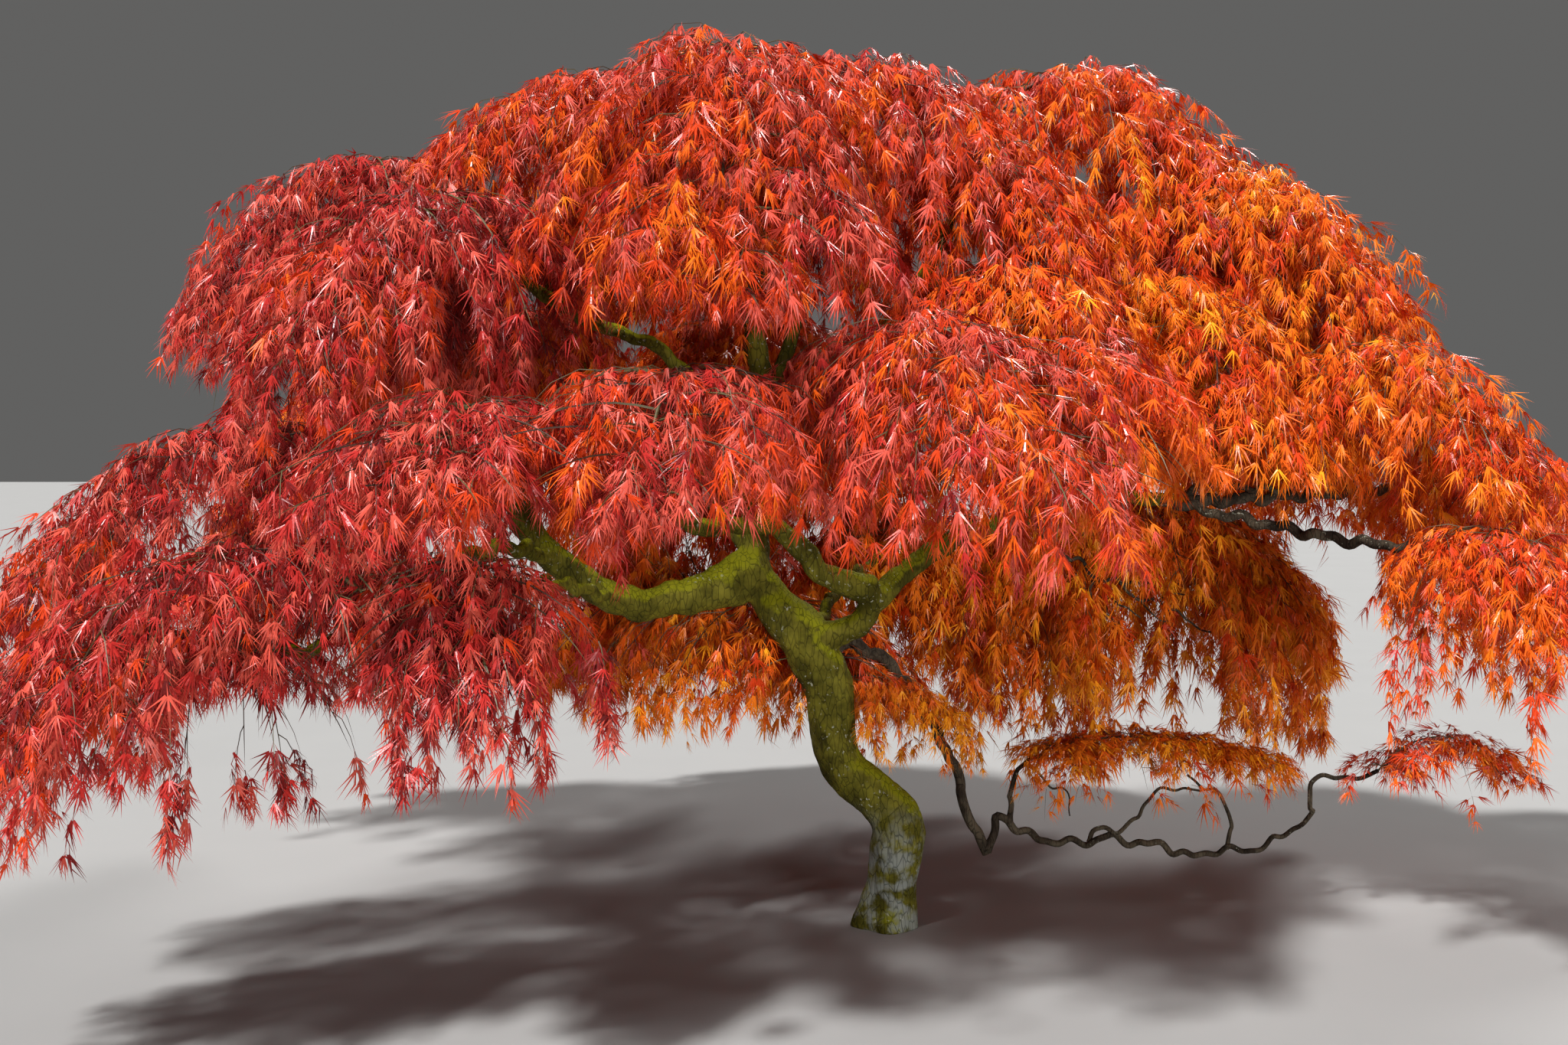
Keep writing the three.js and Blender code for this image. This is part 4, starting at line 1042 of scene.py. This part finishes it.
def add_node(tree, kind, values=None, **settings):
    """A node of a kind with its settings and the values of its sockets."""
    node = tree.nodes.new(kind)
    for name, value in settings.items():
        setattr(node, name, value)
    for socket, value in (values or {}).items():
        set_input(tree, node, socket, value)
    return node


def noise_texture(tree, position, scale, detail, roughness):
    """The value of a noise texture at a position, at a scale in lumps a metre."""
    return add_node(tree, "ShaderNodeTexNoise", {
        "Vector": position, "Scale": scale, "Detail": detail, "Roughness": roughness}).outputs[0]


def object_place(tree):
    """The place on the object, which the patterns follow."""
    return add_node(tree, "ShaderNodeTexCoord").outputs["Object"]


def add_bump(tree, shader, height, strength, distance):
    """Gives a shader the relief of a height."""
    bump = add_node(tree, "ShaderNodeBump",
                    {"Strength": strength, "Distance": distance, "Height": height})
    tree.links.new(bump.outputs[0], shader.inputs["Normal"])


def blend_colour(tree, factor, low, high, blend="MIX"):
    """A colour between low and high. Each is a colour or another node's output."""
    values = {socket: value if isinstance(value, (bpy.types.NodeSocket, float)) else (*value, 1)
              for socket, value in ((0, factor), (6, low), (7, high))}
    return add_node(tree, "ShaderNodeMix", values, data_type="RGBA", blend_type=blend).outputs[2]


def new_group(name, inputs, outputs):
    """A shader node group with a position, number inputs, each with its default, and number
    outputs."""
    group = bpy.data.node_groups.new(name, "ShaderNodeTree")
    group.interface.new_socket("Position", in_out="INPUT", socket_type="NodeSocketVector")
    for label, default in inputs.items():
        socket = group.interface.new_socket(label, in_out="INPUT", socket_type="NodeSocketFloat")
        socket.default_value = default
    for label in outputs:
        group.interface.new_socket(label, in_out="OUTPUT", socket_type="NodeSocketFloat")
    return group, group.nodes.new("NodeGroupInput"), group.nodes.new("NodeGroupOutput")


def stepped(tree, value, low, high, to_low=0.0, to_high=1.0):
    """A value eased from to_low to to_high between low and high."""
    node = add_node(tree, "ShaderNodeMapRange", {0: value, 1: low, 2: high, 3: to_low, 4: to_high},
                    interpolation_type="SMOOTHSTEP")
    return node.outputs[0]


def product(tree, first, second, operation="MULTIPLY"):
    """Two values multiplied, or joined by another operation."""
    return add_node(tree, "ShaderNodeMath", {0: first, 1: second}, operation=operation).outputs[0]


def pattern(tree, position, kind):
    """The noise of a pattern."""
    return noise_texture(tree, position, *PATTERNS[kind])


def patches(tree, position, kind):
    """From 0 to 1, where the patches of a pattern are."""
    return stepped(tree, pattern(tree, position, kind), *PATCH_EDGES[kind])


def bark_grain_group():
    """Fine creases that run up the limb, at a scale in cells a metre, and a mottle of light and
    dark."""
    group, given, out = new_group("Bark grain", {"Scale": BARK_GRAIN, "Stretch": GRAIN_DRAWN},
                                  ["Height", "Mottle"])
    stretch = add_node(group, "ShaderNodeCombineXYZ", {0: 1.0, 1: 1.0, 2: given.outputs["Stretch"]})
    place = add_node(group, "ShaderNodeVectorMath",
                     {0: given.outputs["Position"], 1: stretch.outputs[0]}, operation="MULTIPLY")
    fine = noise_texture(group, place.outputs[0], given.outputs["Scale"], *GRAIN_DETAIL)
    cell_scale = product(group, given.outputs["Scale"], CELL_SCALE)
    cells = add_node(group, "ShaderNodeTexVoronoi",
                     {"Vector": place.outputs[0], "Scale": cell_scale}, feature="DISTANCE_TO_EDGE")
    whole = stepped(group, cells.outputs["Distance"], 0.0, CELL_EDGE)
    height = product(group, fine, product(group, whole, SPLIT_HEIGHT, "ADD"))
    group.links.new(height, out.inputs["Height"])
    group.links.new(patches(group, given.outputs["Position"], "mottle"), out.inputs["Mottle"])
    return group


def growth_group():
    """Where moss and lichen grow: moss on the sides that face up, in patches, and lichen below a
    height, in rounder patches."""
    group, given, out = new_group("Moss and lichen", {"Moss": 0.5, "Lichen height": 0.5},
                                  ["Moss", "Lichen", "Spots"])
    position = given.outputs["Position"]
    normal = add_node(group, "ShaderNodeNewGeometry").outputs["Normal"]
    facing = add_node(group, "ShaderNodeSeparateXYZ", {0: normal}).outputs["Z"]
    patchy = product(group, pattern(group, position, "moss"), MOSS_PATCHES)
    cover = product(group, facing, patchy, "ADD")
    limit = product(group, given.outputs["Moss"], MOSS_LIMIT[0])
    limit = product(group, limit, MOSS_LIMIT[1], "ADD")
    moss = stepped(group, product(group, cover, limit, "SUBTRACT"), 0.0, MOSS_EDGE)
    height = add_node(group, "ShaderNodeSeparateXYZ", {0: position}).outputs["Z"]
    rise = product(group, given.outputs["Lichen height"], height, "SUBTRACT")
    lichen = product(group, stepped(group, rise, -LICHEN_EDGE, LICHEN_EDGE),
                     patches(group, position, "lichen"))
    spots = product(group, patches(group, position, "spots"), patches(group, position, "spotted"))
    for label, value in (("Moss", moss), ("Lichen", lichen), ("Spots", spots)):
        group.links.new(value, out.inputs[label])
    return group


def bark_groups():
    """The two node groups that every bark uses, made once."""
    made = bpy.data.node_groups
    if "Bark grain" not in made:
        bark_grain_group()
        growth_group()
    return made["Bark grain"], made["Moss and lichen"]


def bark_material(name, dark, light, moss, lichen_height, settings):
    """Rough bark in two tones, with moss in patches on its upper sides, grey lichen low down,
    small pale spots, and painted shade that darkens its splits."""
    material, tree, shader = new_material(name)
    grain, cover = (add_node(tree, "ShaderNodeGroup", {}, node_tree=group)
                    for group in bark_groups())
    for node in (grain, cover):
        set_input(tree, node, "Position", object_place(tree))
    set_input(tree, cover, "Moss", moss)
    set_input(tree, cover, "Lichen height", lichen_height)
    colour = blend_colour(tree, grain.outputs["Mottle"], dark, light)
    for mask, share, tone in (("Lichen", LICHEN_SHARE, settings.lichen_colour),
                              ("Moss", 1.0, settings.moss_colour),
                              ("Spots", SPOT_SHARE, settings.spot_colour)):
        colour = blend_colour(tree, product(tree, cover.outputs[mask], share), colour, tone)
    shader.inputs["Specular IOR Level"].default_value = BARK_GLOSS
    # painted shade: the colour is darker where the bark's relief is low, in its splits and creases
    shade = stepped(tree, grain.outputs["Height"], *SPLIT_SHADE)
    colour = blend_colour(tree, 1.0, colour, shade, "MULTIPLY")
    tree.links.new(colour, shader.inputs["Base Color"])
    tree.links.new(stepped(tree, grain.outputs["Mottle"], *BARK_ROUGHNESS),
                   shader.inputs["Roughness"])
    add_bump(tree, shader, grain.outputs["Height"], *BARK_BUMP)
    return material


def shoot_material(settings):
    """Thin shoots, olive-green in long stretches and brown between them."""
    material, tree, shader = new_material("Shoots")
    stretches = pattern(tree, object_place(tree), "shoots")
    green = stepped(tree, stretches, *GREEN_SHARE)
    colour = blend_colour(tree, green, settings.brown_shoots, settings.green_shoots)
    tree.links.new(colour, shader.inputs["Base Color"])
    tree.links.new(stepped(tree, stretches, *SHOOT_ROUGHNESS), shader.inputs["Roughness"])
    return material


def leaf_material(tint, colour):
    """One tint of leaf: a plain colour, with a gloss that changes a little from place to place and
    fine veins in its relief."""
    material, tree, shader = new_material(f"Leaf {tint}")
    position = object_place(tree)
    shader.inputs["Base Color"].default_value = (*colour, 1)
    shader.inputs["Specular IOR Level"].default_value = LEAF_GLOSS
    tree.links.new(stepped(tree, pattern(tree, position, "leaf"), *LEAF_ROUGHNESS),
                   shader.inputs["Roughness"])
    add_bump(tree, shader, pattern(tree, position, "veins"), *LEAF_BUMP)
    return material


def floor_material(colour):
    """A plain pale floor with a faint mottle."""
    material, tree, shader = new_material("Pale floor")
    mottle = pattern(tree, object_place(tree), "floor")
    darker = tuple(FLOOR_MOTTLE * share for share in colour)
    tree.links.new(blend_colour(tree, mottle, darker, colour), shader.inputs["Base Color"])
    shader.inputs["Roughness"].default_value = FLOOR_ROUGHNESS
    return material


def colour_setting(name, description, default):
    """A setting for a plain colour."""
    return bpy.props.FloatVectorProperty(name=name, description=description, default=default,
                                         size=3, min=0, max=1, subtype="COLOR")


class MapleBarkSettings(bpy.types.PropertyGroup):
    """Sizes and colours of the wood."""

    voxel: bpy.props.FloatProperty(
        name="Skin detail", description="Edge length of the faces of the trunk's skin",
        default=0.0095, min=0.004, max=0.03, precision=4, unit="LENGTH")
    dark_bark: colour_setting(
        "Bark in its hollows", "Darker tone of the trunk's bark", (0.060, 0.053, 0.006))
    light_bark: colour_setting(
        "Bark on its ridges", "Lighter tone of the trunk's bark", (0.17, 0.15, 0.014))
    moss_colour: colour_setting(
        "Moss", "Colour of the moss on the upper sides", (0.20, 0.195, 0.005))
    lichen_colour: colour_setting(
        "Lichen", "Colour of the lichen at the trunk's foot", (0.27, 0.29, 0.27))
    spot_colour: colour_setting("Spots", "Colour of the small pale spots", (0.42, 0.43, 0.33))
    low_dark: colour_setting(
        "Dark limbs in their hollows", "Darker tone of the dark limbs' bark", (0.028, 0.02, 0.014))
    low_light: colour_setting(
        "Dark limbs on their ridges", "Lighter tone of the dark limbs' bark", (0.10, 0.078, 0.05))


class MapleFoliageSettings(bpy.types.PropertyGroup):
    """Sizes and tints of the shoots and leaves."""

    leaf_length: bpy.props.FloatProperty(
        name="Leaf length", description="Length of a leaf's middle lobe",
        default=0.112, min=0.04, max=0.3, unit="LENGTH")
    leaf_spacing: bpy.props.FloatProperty(
        name="Between leaves", description="Distance between pairs of leaves on a shoot",
        default=0.042, min=0.02, max=0.3, unit="LENGTH")
    shoot_spacing: bpy.props.FloatProperty(
        name="Between shoots", description="Distance between shoots on a side twig",
        default=0.082, min=0.02, max=0.3, unit="LENGTH")
    green_shoots: colour_setting(
        "Green shoots", "Colour of the young stretches of the shoots", (0.10, 0.085, 0.03))
    brown_shoots: colour_setting(
        "Brown shoots", "Colour of the older stretches of the shoots", (0.055, 0.028, 0.016))
    wine: colour_setting("Wine", "Darkest tint of the leaves", (0.20, 0.013, 0.012))
    crimson: colour_setting("Crimson", "Tint of most leaves on the left", (0.46, 0.026, 0.021))
    # partly the leaves' own pale red and partly a painted pink sheen, dealt out among the crimson
    # by chance
    rose: colour_setting("Rose", "Pale red tint among the crimson", (0.62, 0.085, 0.055))
    scarlet: colour_setting("Scarlet", "Tint of most leaves at the top", (0.64, 0.050, 0.009))
    vermilion: colour_setting("Vermilion", "Orange red tint", (0.80, 0.12, 0.009))
    orange: colour_setting("Orange", "Tint of most leaves on the right", (0.85, 0.19, 0.011))
    # partly the leaves' own orange and partly painted light: amber is as bright as it is to stand
    # for sun shining through the leaves inside and under the crown
    amber: colour_setting(
        "Amber", "Tint of the leaves inside and under the crown", (1.0, 0.36, 0.015))


class MapleStageSettings(bpy.types.PropertyGroup):
    """The floor and the light."""

    floor_size: bpy.props.FloatProperty(
        name="Floor", description="Width of the floor", default=120, min=10, unit="LENGTH")
    floor_colour: colour_setting("Floor colour", "Colour of the plain floor", (0.34, 0.336, 0.328))
    key_strength: bpy.props.FloatProperty(
        name="Key light", description="Strength of the soft light from the upper left",
        default=4.8, min=0)
    fill_strength: bpy.props.FloatProperty(
        name="Front light", description="Strength of the low soft light from the front",
        default=1.6, min=0)
    back_strength: bpy.props.FloatProperty(
        name="Back light", description="Strength of the soft light from behind on the right",
        default=1.6, min=0)
    sky_strength: bpy.props.FloatProperty(
        name="Surroundings", description="Strength of the pale surroundings", default=0.12, min=0)


def limb_tubes(names):
    """The closed tubes of limbs, each with strands that wind round it."""
    return [tube(LINES[name][0], muscled(*LINES[name], seed)) for seed, name in enumerate(names)]


def bare_shoots(rows, first_seed):
    """The closed tubes of bare shoots, each from its root and tip radius and its points."""
    parts = []
    for seed, (root, tip, points) in enumerate(rows, first_seed):
        path = kinked(shoot_line(points), KINKS[0], seed)
        radius = np.linspace(root, tip, len(path))[:, None] * MM
        parts.append(tube(path, muscled(path, np.repeat(radius, BARE_SIDES, 1), seed)))
    return parts


class MAPLE_OT_main_wood(bpy.types.Operator):
    """Grow the trunk and the main boughs as one skin of mossy bark"""

    bl_idname = "maple.main_wood"
    bl_label = "Trunk and main boughs"

    def execute(self, context):
        settings = context.scene.maple_bark
        parts = limb_tubes(["trunk", *MAIN_LIMBS])
        material = bark_material("Mossy bark", settings.dark_bark, settings.light_bark,
                                 *MAIN_COVER, settings)
        skin = new_piece("trunk_and_boughs", *joined(parts), material, "trunk_bark",
                         ["trunk", *MAIN_LIMBS])
        mesh = remeshed(skin, settings.voxel, JOINT_ROUNDS)
        lift_bark(mesh)
        cut_flat(mesh)
        mesh.polygons.foreach_set("use_smooth", np.ones(len(mesh.polygons), bool))
        return {"FINISHED"}


class MAPLE_OT_small_boughs(bpy.types.Operator):
    """Grow the smaller boughs that carry the masses of foliage"""

    bl_idname = "maple.small_boughs"
    bl_label = "Smaller boughs"

    def execute(self, context):
        settings = context.scene.maple_bark
        names = [name for name in BOUGHS if name not in MAIN_LIMBS + LOW_LIMBS + RIGHT_LIMBS]
        material = bark_material("Bough bark", settings.dark_bark, settings.light_bark,
                                 *SMALL_COVER, settings)
        new_piece("small_boughs", *joined(limb_tubes(names)), material, "bough_bark", names)
        return {"FINISHED"}


class MAPLE_OT_dark_limbs(bpy.types.Operator):
    """Grow the dark low limb that runs out over the ground, and the dark prongs on the right"""

    bl_idname = "maple.dark_limbs"
    bl_label = "Dark limbs"

    def execute(self, context):
        settings = context.scene.maple_bark
        material = bark_material("Dark bark", settings.low_dark, settings.low_light,
                                 *DARK_COVER, settings)
        low = limb_tubes(LOW_LIMBS) + bare_shoots(LOW_SHOOTS, 0)
        new_piece("low_limb_wood", *joined(low), material, "dark_bark", LOW_LIMBS)
        right = limb_tubes(RIGHT_LIMBS) + bare_shoots(RIGHT_SHOOTS, len(LOW_SHOOTS))
        new_piece("right_limb_wood", *joined(right), material, "bough_bark", RIGHT_LIMBS)
        return {"FINISHED"}


class MAPLE_OT_shoots(bpy.types.Operator):
    """Grow the stems, side twigs and shoots of all the masses"""

    bl_idname = "maple.shoots"
    bl_label = "Shoots"

    def execute(self, context):
        foliage = context.scene.maple_foliage
        stems, twigs, shoots = [], [], []
        for index, name in enumerate(MASSES):
            grown = grow(name, index + 1, foliage)
            radius = within(STEM_RADIUS, np.linspace(0, 1, STEM_RINGS)) * grown["small"]
            stems.append(tube(grown["stem"], np.repeat(radius[:, None], STEM_SIDES, 1)))
            for kind, paths, out, thickness in (
                    (twigs, grown["twig_paths"], grown["twig_out"], TWIG_RADIUS),
                    (shoots, grown["shoot_paths"], grown["shoots"]["out"], SHOOT_RADIUS)):
                across = np.cross(out, [0, 0, 1])
                radii = within(thickness, np.linspace(0, 1, paths.shape[1])) * grown["small"]
                kind.append(thin_tubes(paths, across, np.tile(radii, (len(paths), 1))))
        material = shoot_material(foliage)
        nodes = [f"foliage_{name}" for name in MASSES]
        new_piece("stems", *joined(stems), material, "twig_bark", nodes)
        new_piece("side_twigs", *joined(twigs), material, "twig_bark", nodes, smooth=False)
        new_piece("shoots", *joined(shoots), material, "twig_bark", nodes, smooth=False)
        return {"FINISHED"}


class MAPLE_OT_leaves(bpy.types.Operator):
    """Hang the leaves on the shoots, with each tint a piece of its own"""

    bl_idname = "maple.leaves"
    bl_label = "Leaves"

    def execute(self, context):
        foliage = context.scene.maple_foliage
        leaves = [mass_leaves(grow(name, index + 1, foliage), foliage)
                  for index, name in enumerate(MASSES)]
        rows = [np.concatenate(column) for column in zip(*leaves)]
        for number, tint in enumerate(TINTS):
            chosen = [row[rows[6] == number] for row in rows]
            material = leaf_material(tint, getattr(foliage, tint))
            nodes = [f"foliage_{name}" for name, mass in MASSES.items() if mass[6] == tint]
            pieces = math.ceil(len(chosen[0]) / MOST_LEAVES)
            for part in range(pieces):
                share = [row[part::pieces] for row in chosen]
                new_piece(f"leaves_{tint}_{part + 1}", *leaf_mesh(share), material,
                          f"{tint}_leaves", nodes, smooth=False)
        return {"FINISHED"}


class MAPLE_OT_stage(bpy.types.Operator):
    """Set out the floor, the soft light and the camera"""

    bl_idname = "maple.stage"
    bl_label = "Stage"

    def execute(self, context):
        settings = context.scene.maple_stage
        scene = context.scene
        half = settings.floor_size / 2
        corners = np.array([[x * half, y * half, FLOOR_HEIGHT]
                            for x, y in ((-1, -1), (1, -1), (1, 1), (-1, 1))])
        floor = new_piece("floor", corners, np.array([[0, 1, 2], [0, 2, 3]]),
                          floor_material(settings.floor_colour), None, None)
        world = bpy.data.worlds.new("Pale surroundings")
        world.use_nodes = True
        sky = world.node_tree.nodes["Background"]
        sky.inputs["Color"].default_value = (*SKY_COLOUR, 1)
        sky.inputs["Strength"].default_value = settings.sky_strength
        scene.world = world
        strengths = (settings.key_strength, settings.fill_strength, settings.back_strength)
        for strength, (name, softness, tilt, heading, gloss) in zip(strengths, LIGHTS):
            light = bpy.data.lights.new(name, "SUN")
            light.energy = strength
            light.angle = math.radians(softness)
            light.specular_factor = gloss
            lamp = bpy.data.objects.new(name, light)
            lamp.rotation_euler = (math.radians(tilt), 0, math.radians(heading))
            scene.collection.objects.link(lamp)
        eye = bpy.data.objects.new("Camera", bpy.data.cameras.new("Camera"))
        eye.location = EYE
        eye.rotation_euler = (math.radians(90 - PITCH), 0, 0)
        eye.data.lens = LENS
        eye.data.sensor_width = FILM_WIDTH
        eye.data.clip_end = SIGHT_END
        scene.collection.objects.link(eye)
        scene.camera = eye
        scene.view_settings.view_transform = "Standard"
        return {"FINISHED"}


class MAPLE_PT_panel(bpy.types.Panel):
    """Lists the steps and settings of the tree"""

    bl_idname = "MAPLE_PT_panel"
    bl_label = "Weeping maple"
    bl_space_type = "VIEW_3D"
    bl_region_type = "UI"
    bl_category = "Maple"

    def draw(self, context):
        for settings in (context.scene.maple_bark, context.scene.maple_foliage,
                         context.scene.maple_stage):
            for name in settings.__annotations__:
                self.layout.prop(settings, name)
        for operator in OPERATORS:
            self.layout.operator(operator.bl_idname)


OPERATORS = [MAPLE_OT_main_wood, MAPLE_OT_small_boughs, MAPLE_OT_dark_limbs, MAPLE_OT_shoots,
             MAPLE_OT_leaves, MAPLE_OT_stage]
SETTINGS = {"maple_bark": MapleBarkSettings, "maple_foliage": MapleFoliageSettings,
            "maple_stage": MapleStageSettings}


def register():
    for kind in [*SETTINGS.values(), *OPERATORS, MAPLE_PT_panel]:
        bpy.utils.register_class(kind)
    for name, kind in SETTINGS.items():
        setattr(bpy.types.Scene, name, bpy.props.PointerProperty(type=kind))


def unregister():
    for name in SETTINGS:
        delattr(bpy.types.Scene, name)
    for kind in [MAPLE_PT_panel, *reversed(OPERATORS), *reversed(list(SETTINGS.values()))]:
        bpy.utils.unregister_class(kind)


def main():
    """Builds the whole tree and its stage."""
    register()
    bpy.ops.maple.main_wood()
    bpy.ops.maple.small_boughs()
    bpy.ops.maple.dark_limbs()
    bpy.ops.maple.shoots()
    bpy.ops.maple.leaves()
    bpy.ops.maple.stage()
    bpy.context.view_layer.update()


if __name__ == "__main__":
    main()
